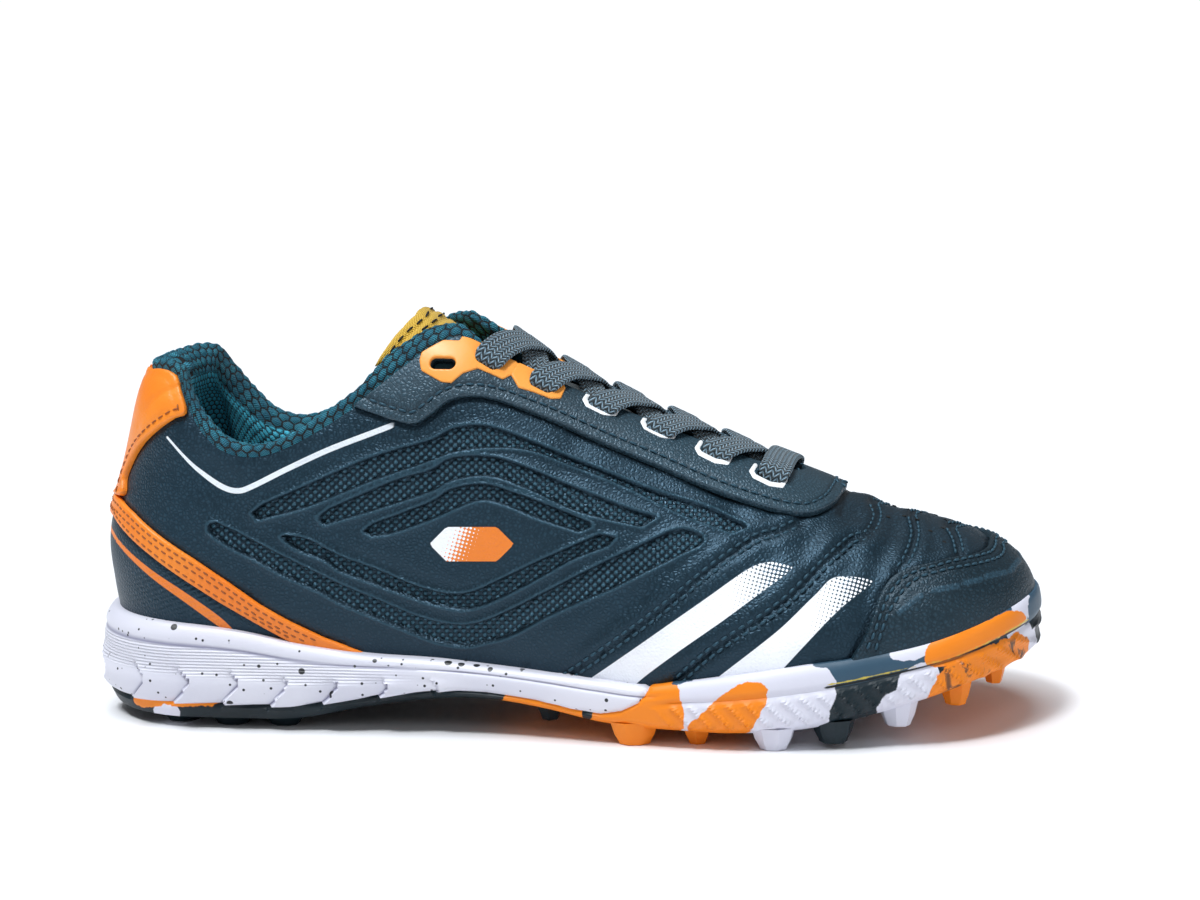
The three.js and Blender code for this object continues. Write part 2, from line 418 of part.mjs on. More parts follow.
// studs: s, distance from the middle (outer side negative), length and width at the root, share kept at the tip,
// turn in degrees, height of the tip (0 where the shoe stands on it)
const STUD_COLS = ["s", "y", "l", "w", "share", "turn", "tip"];
const STUDS = [
  // heel: blunt bars round the edge and a few studs inside
  [29.3, -21.5, 13, 9, 0.68, 20, 0], [45.3, -24.5, 13, 9, 0.68, 4, 0], [61.1, -24.5, 12, 9, 0.68, -2, 0],
  [29.3, 21.5, 13, 9, 0.68, -20, 0], [45.3, 24, 13, 9, 0.68, -6, 0], [61.1, 23, 12, 9, 0.68, 4, 0],
  [14, 0, 9, 15, 0.68, 0, 0], [37, 0, 9, 9, 0.55, 45, 0], [54, 0, 9, 9, 0.55, 45, 0], [72, 0, 8, 8, 0.55, 45, 0.6],
  // arch
  [141.2, -26, 8, 8, 0.6, 0, 3.4], [141.2, 20, 8, 8, 0.6, 0, 3.4],
  // forefoot: a row round the edge, staggered studs between
  [168.1, -38.5, 13, 9.5, 0.66, 8, 0], [185.9, -37, 8, 7, 0.6, 0, 0], [208.2, -41.5, 11.5, 9, 0.64, -4, 0], [224.6, -38.5, 11.5, 9, 0.64, -14, 1.5],
  [168.1, 35, 13, 9.5, 0.66, -14, 0], [185.9, 38, 8, 7, 0.6, 0, 0], [208.2, 40, 11.5, 9, 0.64, 4, 0], [224.6, 37, 11.5, 9, 0.64, 14, 1.5],
  [156, -12, 8.5, 8.5, 0.55, 45, 0], [156, 12, 8.5, 8.5, 0.55, 45, 0],
  [174, -18, 8.5, 8.5, 0.55, 45, 0], [174, 2, 8.5, 8.5, 0.55, 45, 0], [174, 20, 8.5, 8.5, 0.55, 45, 0],
  [193, -24, 8.5, 8.5, 0.55, 45, 0], [193, -7, 8.5, 8.5, 0.55, 45, 0], [193, 10, 8.5, 8.5, 0.55, 45, 0], [193, 26, 8.5, 8.5, 0.55, 45, 0],
  [212, -21, 8.5, 8.5, 0.55, 45, 0], [212, 0, 8.5, 8.5, 0.55, 45, 0], [212, 21, 8.5, 8.5, 0.55, 45, 0],
  // toe: these keep their length, so they rise with it
  [242.1, -31.5, 11, 8.5, 0.64, -28, 5.0], [242.1, 32, 11, 8.5, 0.64, 26, 5.0], [257.4, -20.5, 10, 8, 0.64, -44, 8.6], [257.4, 25, 10, 8, 0.64, 42, 8.6],
  [267.4, -6, 8, 6.5, 0.66, -72, 11.4], [267.4, 13, 8, 6.5, 0.66, 70, 11.4],
  [230, -13, 8.5, 8.5, 0.55, 45, 2.6], [230, 9, 8.5, 8.5, 0.55, 45, 2.6], [247, 1, 8.5, 8.5, 0.55, 45, 6.6],
];
function stud(row) {
  const [s, y, l, w, tip, turn, tipZ] = row, sides = l > 9 ? 8 : 6;
  const root = soleTable(s, "under") + 1.5;
  const g = new THREE.CylinderGeometry(0.5, 0.5, 1, sides, 1);
  const P = g.attributes.position;
  for (let i = 0; i < P.count; i++) {
    const x = P.getX(i), z = P.getZ(i), top = P.getY(i) > 0;
    const k = (top ? 1 : tip) * 1.14, a = Math.PI / sides;
    const rx = x * Math.cos(a) - z * Math.sin(a), ry = x * Math.sin(a) + z * Math.cos(a);
    P.setXYZ(i, rx * l * k, ry * w * k, top ? root : tipZ);
  }
  g.rotateZ(THREE.MathUtils.degToRad(turn));
  g.translate(s, y, 0);
  return solid(plain(g));
}
let rubber = soleBody.intersect(rubberSide);
for (const row of STUDS) rubber = rubber.add(stud(row).subtract(cup));
const outsole = rubber;
const midsole = soleBody.intersect(foamSide);

// ---- insole, lying in the cup inside the upper ----
const insole = (() => {
  const rings = aroundShoe((side, t) => {
    const sec = section(side, t);
    const edge = sec.pts[0].y + GAP, mid = footMid(t) + GAP, inner = (v) => upSection(sec.pts, v).x - WALL - GAP - 1;
    const low = inner(0.1), high = inner(0.3);
    return [place(sec, 0, mid), place(sec, low * 0.6, edge * 0.6 + mid * 0.4), place(sec, low - 0.6, edge), place(sec, high, edge + INSOLE_T * 0.85), place(sec, high - 1, edge + INSOLE_T), place(sec, high * 0.55, (edge + mid) / 2 + INSOLE_T * 0.9), place(sec, 0, mid + INSOLE_T * 0.8)];
  }, 20);
  return solid(closedFromRings(rings));
})();

// ---- laces: flat cord, lying just over the facing and the tongue ----
const LIFT = GAP + EYESTAY_T + 0.5;
function faceHeight(s, y) {
  const off = Math.abs(y - ridgeY(s)), side = y < ridgeY(s) ? "outer" : "inner";
  return onFace(side, s, Math.max(off, 0.01));
}
// a flat cord from one side's hole across the tongue; one that dives goes down to the other side's throat edge
function laceRun(from, to, lift, dives, base = LIFT) {
  const n = 6, rings = [];
  const path = [];
  for (let i = 0; i <= n; i++) {
    const u = i / n;
    const s = from.s + (to.s - from.s) * u;
    const y = ridgeY(s) + from.y + (to.y - from.y) * u;
    const f = faceHeight(s, y);
    const low = dives ? THREE.MathUtils.smoothstep(u, 0.48, 0.8) : 0;
const open = clamp(1 - (Math.abs(y - ridgeY(s)) / (lineAt(THROAT, s) - 1)) ** 2, 0, 1);
    const high = base + LACE_T / 2 + lift * open;
    path.push(f.here.clone().addScaledVector(f.out, high * (1 - low) + (LACE_T / 2 + 0.25) * low));
  }
  for (let i = 0; i <= n; i++) {
    const fwd = path[Math.min(i + 1, n)].clone().sub(path[Math.max(i - 1, 0)]).normalize();
    const f = faceHeight(path[i].x, path[i].y);
    const out = f.out.clone().addScaledVector(fwd, -f.out.dot(fwd)).normalize();
    const across = new THREE.Vector3().crossVectors(fwd, out).normalize();
    const w = LACE_W / 2, t = LACE_T / 2;
    rings.push([[-w, 0], [-w * 0.86, -t], [w * 0.86, -t], [w, 0], [w * 0.86, t], [-w * 0.86, t]]
      .map(([a, b]) => path[i].clone().addScaledVector(across, a).addScaledVector(out, b)));
  }
  const pos = [], idx = [], m = 6;
  rings.forEach((r) => r.forEach((p) => pos.push(p.x, p.y, p.z)));
  for (let i = 0; i < n; i++) for (let k = 0; k < m; k++) {
    const a = i * m + k, b = i * m + ((k + 1) % m), c = a + m, d = b + m;
    idx.push(a, b, d, a, d, c);
  }
  for (let k = 1; k < m - 1; k++) idx.push(0, k + 1, k, n * m, n * m + k, n * m + k + 1);
  const g = new THREE.BufferGeometry();
  g.setAttribute("position", new THREE.Float32BufferAttribute(pos, 3));
  g.setIndex(idx);
  return solid(g);
}
const laced = HOLES.filter((h) => h.laced);
const laces = [];
for (let i = 0; i < laced.length - 1; i++) {
  const a = laced[i], b = laced[i + 1];
  const edge = lineAt(THROAT, b.s) - 3.9;
  const one = laceRun({ s: a.s + 0.5, y: -a.off - 0.3 }, { s: b.s - 2.5, y: edge }, -1.2, true, LIFT + [0.5, 0.3, 0.2, 0.1, 0.1][i]);
  const two = laceRun({ s: a.s + 0.5, y: a.off + 0.3 }, { s: b.s - 2.5, y: -edge }, -0.2, true, LIFT + [0.5, 0.3, 0.2, 0.1, 0.1][i]);
  laces.push(one.add(two));
}
const last = laced[laced.length - 1];
laces.push(laceRun({ s: last.s + 1, y: -last.off - 0.3 }, { s: last.s + 1, y: last.off + 0.3 }, 0.3, false));

// ---- the shoe ----
const COLOURS = {
  upper: [0x22343c, 0.62], facing: [0x2a3f49, 0.6], guard: [0x263a43, 0.6], orange: [0xf08a1f, 0.55], collar: [0x1d7f90, 0.9],
  tongue: [0xe0b23c, 0.85], foam: [0xeeeef4, 0.5], rubber: [0x2b4452, 0.6], insole: [0x20303a, 0.9], lace: [0x2b4450, 0.85],
};
const shoe = new THREE.Group();
// closes up the edges shorter than `least` that cutting leaves, and drops the slivers between them
function tidy(m, least) {
  const P = m.vertProperties, T = m.triVerts, to = Array.from({ length: P.length / 3 }, (_, i) => i);
  const root = (i) => (to[i] === i ? i : (to[i] = root(to[i])));
  for (let i = 0; i < T.length; i += 3) for (let k = 0; k < 3; k++) {
    const a = T[i + k], b = T[i + ((k + 1) % 3)];
    if (Math.hypot(P[3 * a] - P[3 * b], P[3 * a + 1] - P[3 * b + 1], P[3 * a + 2] - P[3 * b + 2]) < least) to[Math.max(root(a), root(b))] = Math.min(root(a), root(b));
  }
  const kept = new Map();
  for (let i = 0; i < T.length; i += 3) {
    const f = [root(T[i]), root(T[i + 1]), root(T[i + 2])];
    if (f[0] === f[1] || f[1] === f[2] || f[0] === f[2]) continue;
    const key = [...f].sort((a, b) => a - b).join();
    if (kept.has(key)) kept.delete(key); // two faces back to back
    else kept.set(key, f);
  }
  const g = new THREE.BufferGeometry();
  g.setAttribute("position", new THREE.Float32BufferAttribute(P, 3));
  g.setIndex([...kept.values()].flat());
  const used = mergeVertices(g.toNonIndexed(), 1e-5);
  return used;
}
function addPiece(name, colour, s) {
  const g = tidy(s.getMesh(), 0.03);
  const [hex, rough] = COLOURS[colour];
  const mesh = new THREE.Mesh(g, new THREE.MeshStandardMaterial({ color: hex, roughness: rough, metalness: 0 }));
  mesh.name = name;
  shoe.add(mesh);
}
const biggest = (s) => s.decompose().sort((a, b) => b.volume() - a.volume())[0];
addPiece("outsole", "rubber", biggest(outsole));
addPiece("midsole", "foam", biggest(midsole));
addPiece("insole", "insole", insole);
addPiece("upper", "upper", biggest(upper));
addPiece("collar_padding", "collar", biggest(collar));
addPiece("tongue", "tongue", biggest(tongue));
addPiece("lace_facing", "facing", biggest(eyestay));
addPiece("toe_guard", "guard", biggest(toeGuard));
addPiece("heel_tab", "orange", biggest(heelTab));
addPiece("heel_band", "orange", biggest(band));
laces.forEach((l, i) => addPiece(i < laces.length - 1 ? `lace_cross_${i + 1}` : "lace_bar", "lace", biggest(l)));

// the origin goes under the middle of the shoe, on the floor
const box = new THREE.Box3().setFromObject(shoe);
shoe.position.set(-(box.min.x + box.max.x) / 2, -(box.min.y + box.max.y) / 2, -box.min.z);

export default shoe;
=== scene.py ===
import math
import bpy
import numpy as np
from mathutils import Vector, Matrix
from mathutils.bvhtree import BVHTree


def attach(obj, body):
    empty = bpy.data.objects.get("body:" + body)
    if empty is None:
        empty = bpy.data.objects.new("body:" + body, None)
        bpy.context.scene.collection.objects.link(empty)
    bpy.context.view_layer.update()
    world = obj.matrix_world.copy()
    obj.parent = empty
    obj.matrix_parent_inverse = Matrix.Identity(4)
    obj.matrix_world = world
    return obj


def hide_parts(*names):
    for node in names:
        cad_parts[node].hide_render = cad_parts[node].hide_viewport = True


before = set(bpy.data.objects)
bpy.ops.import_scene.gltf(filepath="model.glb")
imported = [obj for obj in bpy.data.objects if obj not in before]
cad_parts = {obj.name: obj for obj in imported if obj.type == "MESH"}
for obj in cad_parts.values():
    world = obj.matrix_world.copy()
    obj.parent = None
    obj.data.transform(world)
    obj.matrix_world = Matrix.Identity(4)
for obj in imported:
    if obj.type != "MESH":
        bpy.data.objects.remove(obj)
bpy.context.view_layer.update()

# Millimetres inside this script. s runs from the back of the heel to the toe, as in the part's own layout.
SHIFT = np.array([-140.013, 0.001, 0.0])
MM = 0.001
GAP, WALL = 0.3, 2.0
FACING_T, GUARD_T, TAB_T, BAND_T = 1.5, 1.1, 1.4, 0.9
PX = 0.30  # millimetres to one pixel of the 1200 x 900 side view, at the shoe's outer side

# ------------------------------------------------------------------ the last's form
OUTER = np.array([
    [34, -90, 0, 27.2, 21.3, 30.0, 40, 30.4, 55, 21.6, 81, 13.4, 102, 122],
    [34, -58, 0, 26.9, 21.3, 29.6, 39, 30.3, 54, 23.4, 79, 16.6, 101, 122],
    [34, -28, 0, 26.9, 21.2, 29.4, 37, 30.3, 52, 26.4, 76, 21.2, 99, 122],
    [34, 0, 0, 27.3, 21.0, 30.0, 36, 30.6, 51, 28.5, 72, 24.5, 97, 122],
    [55, 0, 0, 28.3, 19.5, 31.0, 34, 31.5, 49, 30.0, 68, 26.5, 90, 128],
    [80, 0, 0, 29.0, 17.8, 31.8, 33, 32.3, 48, 30.5, 72, 25.5, 96, 133],
    [105, 0, 0.5, 30.5, 16.8, 33.6, 32, 34.0, 48, 31.5, 80, 21.5, 109, 126.5],
    [118, 0, 0.8, 31.8, 16.4, 35.0, 31, 35.5, 47, 32.2, 82, 20.5, 109.5, 117.5],
    [130, 0, 1, 33.5, 15.8, 36.6, 30, 37.0, 46, 33.2, 79, 19.5, 103.4, 108],
    [155, 0, 2, 38.5, 13.7, 41.6, 27, 41.5, 41, 36.2, 68.5, 19.0, 91.0, 93.6],
    [180, 0, 3, 43.0, 11.8, 46.0, 24, 45.5, 36, 38.0, 61, 18.5, 80.0, 82.4],
    [205, 0, 4, 45.5, 12.3, 48.5, 24.5, 47.3, 36.5, 37.5, 56, 18.0, 70.2, 72.6],
    [228, 0, 5, 43.5, 14.5, 46.3, 26.5, 44.3, 38, 34.0, 53, 16.0, 61.2, 63.5],
    [240, 0, 5, 40.0, 17.0, 43.0, 28.5, 41.0, 39.5, 31.0, 50.6, 13.5, 57.2, 58.8],
    [240, 24, 5, 38.2, 19.5, 41.6, 30.5, 39.3, 40.6, 30.0, 50.0, 13.0, 56.6, 58.8],
    [240, 47, 5, 36.3, 22.0, 39.6, 32.5, 37.2, 41.4, 28.4, 49.6, 12.5, 56.0, 58.8],
    [240, 70, 5, 35.0, 23.2, 38.0, 33.5, 35.3, 42.2, 27.4, 49.5, 12.0, 55.6, 58.8],
    [240, 90, 5, 34.5, 23.6, 37.4, 34.0, 34.6, 42.5, 26.8, 49.5, 11.5, 55.5, 58.8]])
INNER = np.array([
    [34, -90, 0, 27.2, 21.3, 30.0, 40, 30.4, 55, 21.6, 81, 13.4, 102, 122],
    [34, -58, 0, 26.9, 21.3, 29.6, 39, 30.3, 54, 23.4, 79, 16.6, 101, 122],
    [34, -28, 0, 26.8, 21.2, 29.3, 37, 30.2, 52, 26.3, 76, 21.2, 99, 122],
    [34, 0, 0, 27.0, 21.0, 29.5, 36, 30.0, 51, 28.0, 72, 24.3, 97, 122],
    [55, 0, 0, 26.5, 19.8, 29.0, 34, 29.6, 49, 28.5, 68, 25.5, 90, 128],
    [80, 0, 0, 24.5, 18.5, 27.3, 35, 28.5, 50, 28.0, 74, 24.5, 96, 133],
    [105, 0, 0.5, 23.5, 17.6, 26.8, 36, 28.5, 52, 27.5, 80, 20.5, 109, 126.5],
    [118, 0, 0.8, 24.2, 17.0, 27.6, 35, 29.3, 51, 27.8, 81, 19.0, 109, 117.5],
    [130, 0, 1, 25.8, 16.2, 29.2, 33, 30.6, 49, 28.4, 78, 18.0, 102.4, 108],
    [155, 0, 2, 30.5, 13.9, 33.8, 28, 34.3, 43, 31.0, 67.5, 17.5, 89.6, 93.6],
    [180, 0, 3, 35.5, 11.8, 38.6, 25, 38.3, 38, 33.4, 59, 17.0, 78.6, 82.4],
    [205, 0, 4, 37.5, 12.3, 40.6, 25, 39.8, 37, 32.6, 54.5, 16.0, 69, 72.6],
    [228, 0, 5, 36.0, 14.5, 39.0, 26.5, 37.5, 38, 29.6, 52, 14.4, 60.6, 63.5],
    [240, 0, 5, 33.5, 17.0, 36.5, 28.5, 35.0, 39.5, 27.6, 50.4, 12.4, 57.0, 58.8],
    [240, 24, 5, 33.6, 19.5, 36.8, 30.5, 34.8, 40.6, 27.3, 50.0, 12.2, 56.5, 58.8],
    [240, 47, 5, 34.0, 22.0, 37.0, 32.5, 34.8, 41.4, 27.0, 49.6, 12.0, 56.0, 58.8],
    [240, 70, 5, 34.3, 23.2, 37.3, 33.5, 34.6, 42.2, 26.9, 49.5, 11.7, 55.6, 58.8],
    [240, 90, 5, 34.5, 23.6, 37.4, 34.0, 34.6, 42.5, 26.8, 49.5, 11.5, 55.5, 58.8]])
SOLE = np.array([
    [0, 5.6, 32.2, 1.4, 4.4, 4.0, 1.0], [12, 4.0, 32.0, 1.8, 4.5, 4.1, 1.0], [30, 3.4, 31.2, 1.8, 4.4, 4.0, 1.2],
    [50, 3.4, 29.2, 1.6, 4.2, 3.8, 1.3], [68, 3.8, 25.8, 0.8, 3.8, 3.6, 1.4], [88, 7.4, 23.2, -0.4, 3.2, 3.3, 1.4],
    [110, 10.4, 22.2, -1.0, 2.6, 3.0, 1.4], [125, 10.8, 21.0, -1.0, 2.6, 3.0, 1.4], [142, 9.0, 19.8, -0.8, 2.6, 3.0, 1.4],
    [158, 6.2, 18.6, -0.6, 2.6, 3.0, 1.5], [171, 5.2, 17.6, -0.6, 2.8, 3.1, 1.6], [182, 4.8, 19.2, -0.8, 3.2, 3.3, 1.6],
    [196, 4.6, 21.4, -0.9, 3.5, 3.5, 1.6], [216, 5.8, 24.4, -1.0, 3.6, 3.5, 1.6], [233, 8.6, 26.4, -1.2, 3.6, 3.5, 1.7],
    [248, 12.4, 29.2, -1.6, 3.4, 3.5, 1.8], [262, 15.6, 33.0, -2.6, 2.9, 3.4, 2.0], [272, 17.4, 36.0, -3.8, 2.4, 3.2, 2.0],
    [280, 19.0, 38.0, -4.6, 2.0, 3.0, 2.0]])
COLLAR = np.array([[-6, 102.4], [20, 103.2], [28, 104.4], [33, 102.4], [36.2, 95.8], [41, 88], [47, 82.8], [56, 80.9], [66, 83.4], [80, 90.8], [93, 99.6], [101, 105.4], [108, 110], [116, 113.2], [124, 112.6], [129, 110.2]])
ROLL = np.array([[20, 2.4], [30, 2.6], [37, 4.6], [42, 4.4], [48, 2.4], [56, 1.6], [66, 1.6], [78, 3], [92, 4], [112, 3.8], [124, 2.4]])
FACING = np.array([[86, 95], [93, 92.8], [98.5, 91.2], [105, 90.1], [110, 92.8], [115.5, 96.6], [122, 97.5], [130, 95.7], [144.2, 89.9], [158.8, 83.2], [173.3, 77.1], [188, 70.7], [202.4, 65.6], [210, 63.4], [216, 62.4], [220, 62.7], [223.2, 64], [224.4, 66.2]])
GUARD = np.array([[232.4, 52], [233, 44.4], [236.7, 40.7], [239, 37.6], [242, 33.8], [245.3, 29.8], [252, 25.9], [258.8, 20], [263.4, 12.5], [265.4, 4]])
TAB = np.array([[31, 108], [33.4, 101], [36.5, 93.3], [32.8, 91.3], [27.7, 88.1], [22, 83.5], [17.4, 78.4], [13.7, 72.2], [12, 66.3], [-8, 66.3]])
BAND_TOP = np.array([[-8, 65.9], [8, 65.9], [12, 65.4], [18, 62.8], [27.3, 57], [37.7, 50.6], [47.8, 44], [57.2, 37.4], [66, 32.4], [76, 27.6], [88, 23.2]])
BAND_LOW = np.array([[-8, 60.4], [9.4, 60.1], [15, 56.9], [24.5, 51.1], [35, 44.2], [44.7, 38.1], [56.6, 31.3], [66, 26], [72, 22], [88, 14]])
SPLIT = np.array([[-8, 9.6], [3, 8.4], [15, 7.9], [34, 7.9], [66, 7.6], [80, 9.2], [96, 11.6], [106, 12.8], [116, 13.6], [125, 13.6], [140, 12.0], [150, 10.0], [158.6, 9.2], [165, 10.4], [170, 13], [172.6, 16], [173.6, 19], [174.2, 60]])
THROAT = np.array([[88, -50], [100, 17.5], [112, 17.5], [122, 17], [140, 15], [160, 13], [180, 11.5], [198, 10.4], [205, 9], [209, 6.4], [211.4, 3], [213, -3], [300, -60]])
TONGUE = np.array([[85.5, 20.5], [90, 20], [96, 19], [112, 18.5], [130, 19], [145, 20], [170, 20.5], [195, 18], [212, 15.5], [217, 12]])
TONGUE_BACK = np.array([[0, 103.6], [3, 103.3], [9, 101.2], [14, 97.2], [18, 92.5], [20.5, 89]])
HOLES = [(112.9, 23.8), (124.4, 20.8), (139.6, 19.6), (156, 17.8), (172.4, 16.9), (188.4, 16.9), (204.2, 17)]
STUDS = [
    [29.3, -21.5, 13, 9, 0.68, 20, 0], [45.3, -24.5, 13, 9, 0.68, 4, 0], [61.1, -24.5, 12, 9, 0.68, -2, 0],
    [29.3, 21.5, 13, 9, 0.68, -20, 0], [45.3, 24, 13, 9, 0.68, -6, 0], [61.1, 23, 12, 9, 0.68, 4, 0],
    [14, 0, 9, 15, 0.68, 0, 0], [37, 0, 9, 9, 0.55, 45, 0], [54, 0, 9, 9, 0.55, 45, 0], [72, 0, 8, 8, 0.55, 45, 0.6],
    [141.2, -26, 8, 8, 0.6, 0, 3.4], [141.2, 20, 8, 8, 0.6, 0, 3.4],
    [168.1, -38.5, 13, 9.5, 0.66, 8, 0], [185.9, -37, 8, 7, 0.6, 0, 0], [208.2, -41.5, 11.5, 9, 0.64, -4, 0], [224.6, -38.5, 11.5, 9, 0.64, -14, 1.5],
    [168.1, 35, 13, 9.5, 0.66, -14, 0], [185.9, 38, 8, 7, 0.6, 0, 0], [208.2, 40, 11.5, 9, 0.64, 4, 0], [224.6, 37, 11.5, 9, 0.64, 14, 1.5],
    [156, -12, 8.5, 8.5, 0.55, 45, 0], [156, 12, 8.5, 8.5, 0.55, 45, 0],
    [174, -18, 8.5, 8.5, 0.55, 45, 0], [174, 2, 8.5, 8.5, 0.55, 45, 0], [174, 20, 8.5, 8.5, 0.55, 45, 0],
    [193, -24, 8.5, 8.5, 0.55, 45, 0], [193, -7, 8.5, 8.5, 0.55, 45, 0], [193, 10, 8.5, 8.5, 0.55, 45, 0], [193, 26, 8.5, 8.5, 0.55, 45, 0],
    [212, -21, 8.5, 8.5, 0.55, 45, 0], [212, 0, 8.5, 8.5, 0.55, 45, 0], [212, 21, 8.5, 8.5, 0.55, 45, 0],
    [242.1, -31.5, 11, 8.5, 0.64, -28, 5.0], [242.1, 32, 11, 8.5, 0.64, 26, 5.0], [257.4, -20.5, 10, 8, 0.64, -44, 8.6], [257.4, 25, 10, 8, 0.64, 42, 8.6],
    [267.4, -6, 8, 6.5, 0.66, -72, 11.4], [267.4, 13, 8, 6.5, 0.66, 70, 11.4],
    [230, -13, 8.5, 8.5, 0.55, 45, 2.6], [230, 9, 8.5, 8.5, 0.55, 45, 2.6], [247, 1, 8.5, 8.5, 0.55, 45, 6.6]]


def cubic(xs, ys, x):
    xs, ys = np.asarray(xs, float), np.asarray(ys, float)
    x = np.clip(np.asarray(x, float), xs[0], xs[-1])
    i = np.clip(np.searchsorted(xs, x, side="left") - 1, 0, len(xs) - 2)
    m = np.empty(len(xs))
    m[0], m[-1] = (ys[1] - ys[0]) / (xs[1] - xs[0]), (ys[-1] - ys[-2]) / (xs[-1] - xs[-2])
    m[1:-1] = (ys[2:] - ys[:-2]) / (xs[2:] - xs[:-2])
    h = xs[i + 1] - xs[i]
    u = (x - xs[i]) / h
    u2, u3 = u * u, u ** 3
    return (2 * u3 - 3 * u2 + 1) * ys[i] + (u3 - 2 * u2 + u) * m[i] * h + (3 * u2 - 2 * u3) * ys[i + 1] + (u3 - u2) * m[i + 1] * h


def line(table, s):
    return cubic(table[:, 0], table[:, 1], s)


def straight(table, s):
    return np.interp(s, table[:, 0], table[:, 1])


def smoothstep(x, a, b):
    u = np.clip((x - a) / (b - a), 0, 1)
    return u * u * (3 - 2 * u)


def stations_of(rows):
    t = [0.0]
    for p, r in zip(rows[:-1], rows[1:]):
        radius = 40 if (r[0] == 240 and p[0] == 240) else 31
        t.append(t[-1] + (r[0] - p[0]) + (radius * math.radians(abs(r[1] - p[1])) if r[0] == p[0] else 0))
    return np.array(t)


T = stations_of(OUTER)
T_HEEL, T_TOE, T_END = T[3], T[13], T[-1]
ROWS, SIGN = (OUTER, INNER), (-1.0, 1.0)


def ridge_y(s):
    return cubic(T, OUTER[:, 2], T_HEEL + np.clip(s, 34, 240) - 34)


def sections(side, t):
    rows = ROWS[side]
    s = np.interp(t, T, rows[:, 0])
    turn = np.radians(np.interp(t, T, rows[:, 1]))
    mid = np.clip(t, T_HEEL, T_TOE)
    y0 = cubic(T, rows[:, 2], mid)
    pts = np.stack([np.stack([cubic(T, rows[:, 3 + 2 * k], t), cubic(T, rows[:, 4 + 2 * k], t)], -1) for k in range(5)] + [np.stack([np.zeros_like(t), cubic(T, rows[:, 13], mid)], -1)], 1)
    return s, y0, np.sin(turn), SIGN[side] * np.cos(turn), pts


def up(pts, v):
    n = len(pts)
    g = np.concatenate([2 * pts[:, :1] - pts[:, 1:2], pts, pts[:, 4:5] * np.array([-1, 1])], 1)
    i = np.clip(np.floor(v).astype(int), 0, 4)
    u = (v - i)[..., None]
    rows = np.arange(n)[:, None]
    p = [g[rows, i + k] for k in range(4)]
    k = [np.zeros_like(u)]
    for j in range(3):
        k.append(k[j] + np.sqrt(np.maximum(np.linalg.norm(p[j] - p[j + 1], axis=-1, keepdims=True), 1e-6)))
    x = k[1] + (k[2] - k[1]) * u

    def mix(a, b, ka, kb):
        return a * (kb - x) / (kb - ka) + b * (x - ka) / (kb - ka)
    a1, a2, a3 = mix(p[0], p[1], k[0], k[1]), mix(p[1], p[2], k[1], k[2]), mix(p[2], p[3], k[2], k[3])
    return mix(mix(a1, a2, k[0], k[2]), mix(a2, a3, k[1], k[3]), k[1], k[2])


DENSE = np.linspace(0, 5, 241)


def surface(side, t, f):
    """Points on the form. t is (n,), f is (n, m): the share of the way up each section, by length."""
    s, y0, dx, dy, pts = sections(side, t)
    d = up(pts, np.broadcast_to(DENSE, (len(t), len(DENSE))))
    arc = np.concatenate([np.zeros((len(t), 1)), np.cumsum(np.linalg.norm(np.diff(d, axis=1), axis=-1), 1)], 1)
    r, z = np.empty_like(f), np.empty_like(f)
    for i in range(len(t)):
        x = f[i] * arc[i, -1]
        r[i], z[i] = np.interp(x, arc[i], d[i, :, 0]), np.interp(x, arc[i], d[i, :, 1])
    return np.stack([s[:, None] + dx[:, None] * r, y0[:, None] + dy[:, None] * r, z], -1), r, arc[:, -1]


# ------------------------------------------------------------------ the photograph's viewpoint
AZ, EL, DIST, FOCAL, ROLL_DEG = math.radians(11), math.radians(10), 950.0, 3252.0, math.radians(-1.78)
back = np.array([math.sin(AZ) * math.cos(EL), -math.cos(AZ) * math.cos(EL), math.sin(EL)])
right0 = np.array([math.cos(AZ), math.sin(AZ), 0.0])
up0 = np.cross(back, right0)
right = math.cos(ROLL_DEG) * right0 + math.sin(ROLL_DEG) * up0
upv = -math.sin(ROLL_DEG) * right0 + math.cos(ROLL_DEG) * up0
TARGET = np.array([13.09 + 140, 0.0, 77.59])
EYE = TARGET + DIST * back


def project(P):
    q = P - EYE
    d = -(q @ back)
    return 600 + FOCAL * (q @ right) / d, 450 - FOCAL * (q @ upv) / d


# ------------------------------------------------------------------ skins: triangle meshes with values at their points
class Skin:
    def __init__(self, V, N, F, A):
        self.V, self.N, self.F, self.A = V, N, F, A

    def copy(self):
        return Skin(self.V.copy(), self.N.copy(), self.F.copy(), {k: a.copy() for k, a in self.A.items()})


def normals_of(V, F):
    n = np.cross(V[F[:, 1]] - V[F[:, 0]], V[F[:, 2]] - V[F[:, 0]])
    N = np.zeros_like(V)
    for k in range(3):
        np.add.at(N, F[:, k], n)
    return N / np.maximum(np.linalg.norm(N, axis=1, keepdims=True), 1e-12)


def weld(V, F, A):
    key = np.round(V / 0.002).astype(np.int64)
    _, first, inv = np.unique(key, axis=0, return_index=True, return_inverse=True)
    inv = inv.reshape(-1)
    F = inv[F]
    F = F[(F[:, 0] != F[:, 1]) & (F[:, 1] != F[:, 2]) & (F[:, 0] != F[:, 2])]
    return V[first], F, {k: a[first] for k, a in A.items()}


def grid_faces(n, m, flip=False, start=0):
    i, j = np.meshgrid(np.arange(n - 1), np.arange(m - 1), indexing="ij")
    a = (i * m + j).ravel() + start
    b, c, d = a + m, a + m + 1, a + 1
    F = np.concatenate([np.stack([a, b, c], 1), np.stack([a, c, d], 1)])
    return F[:, ::-1] if flip else F


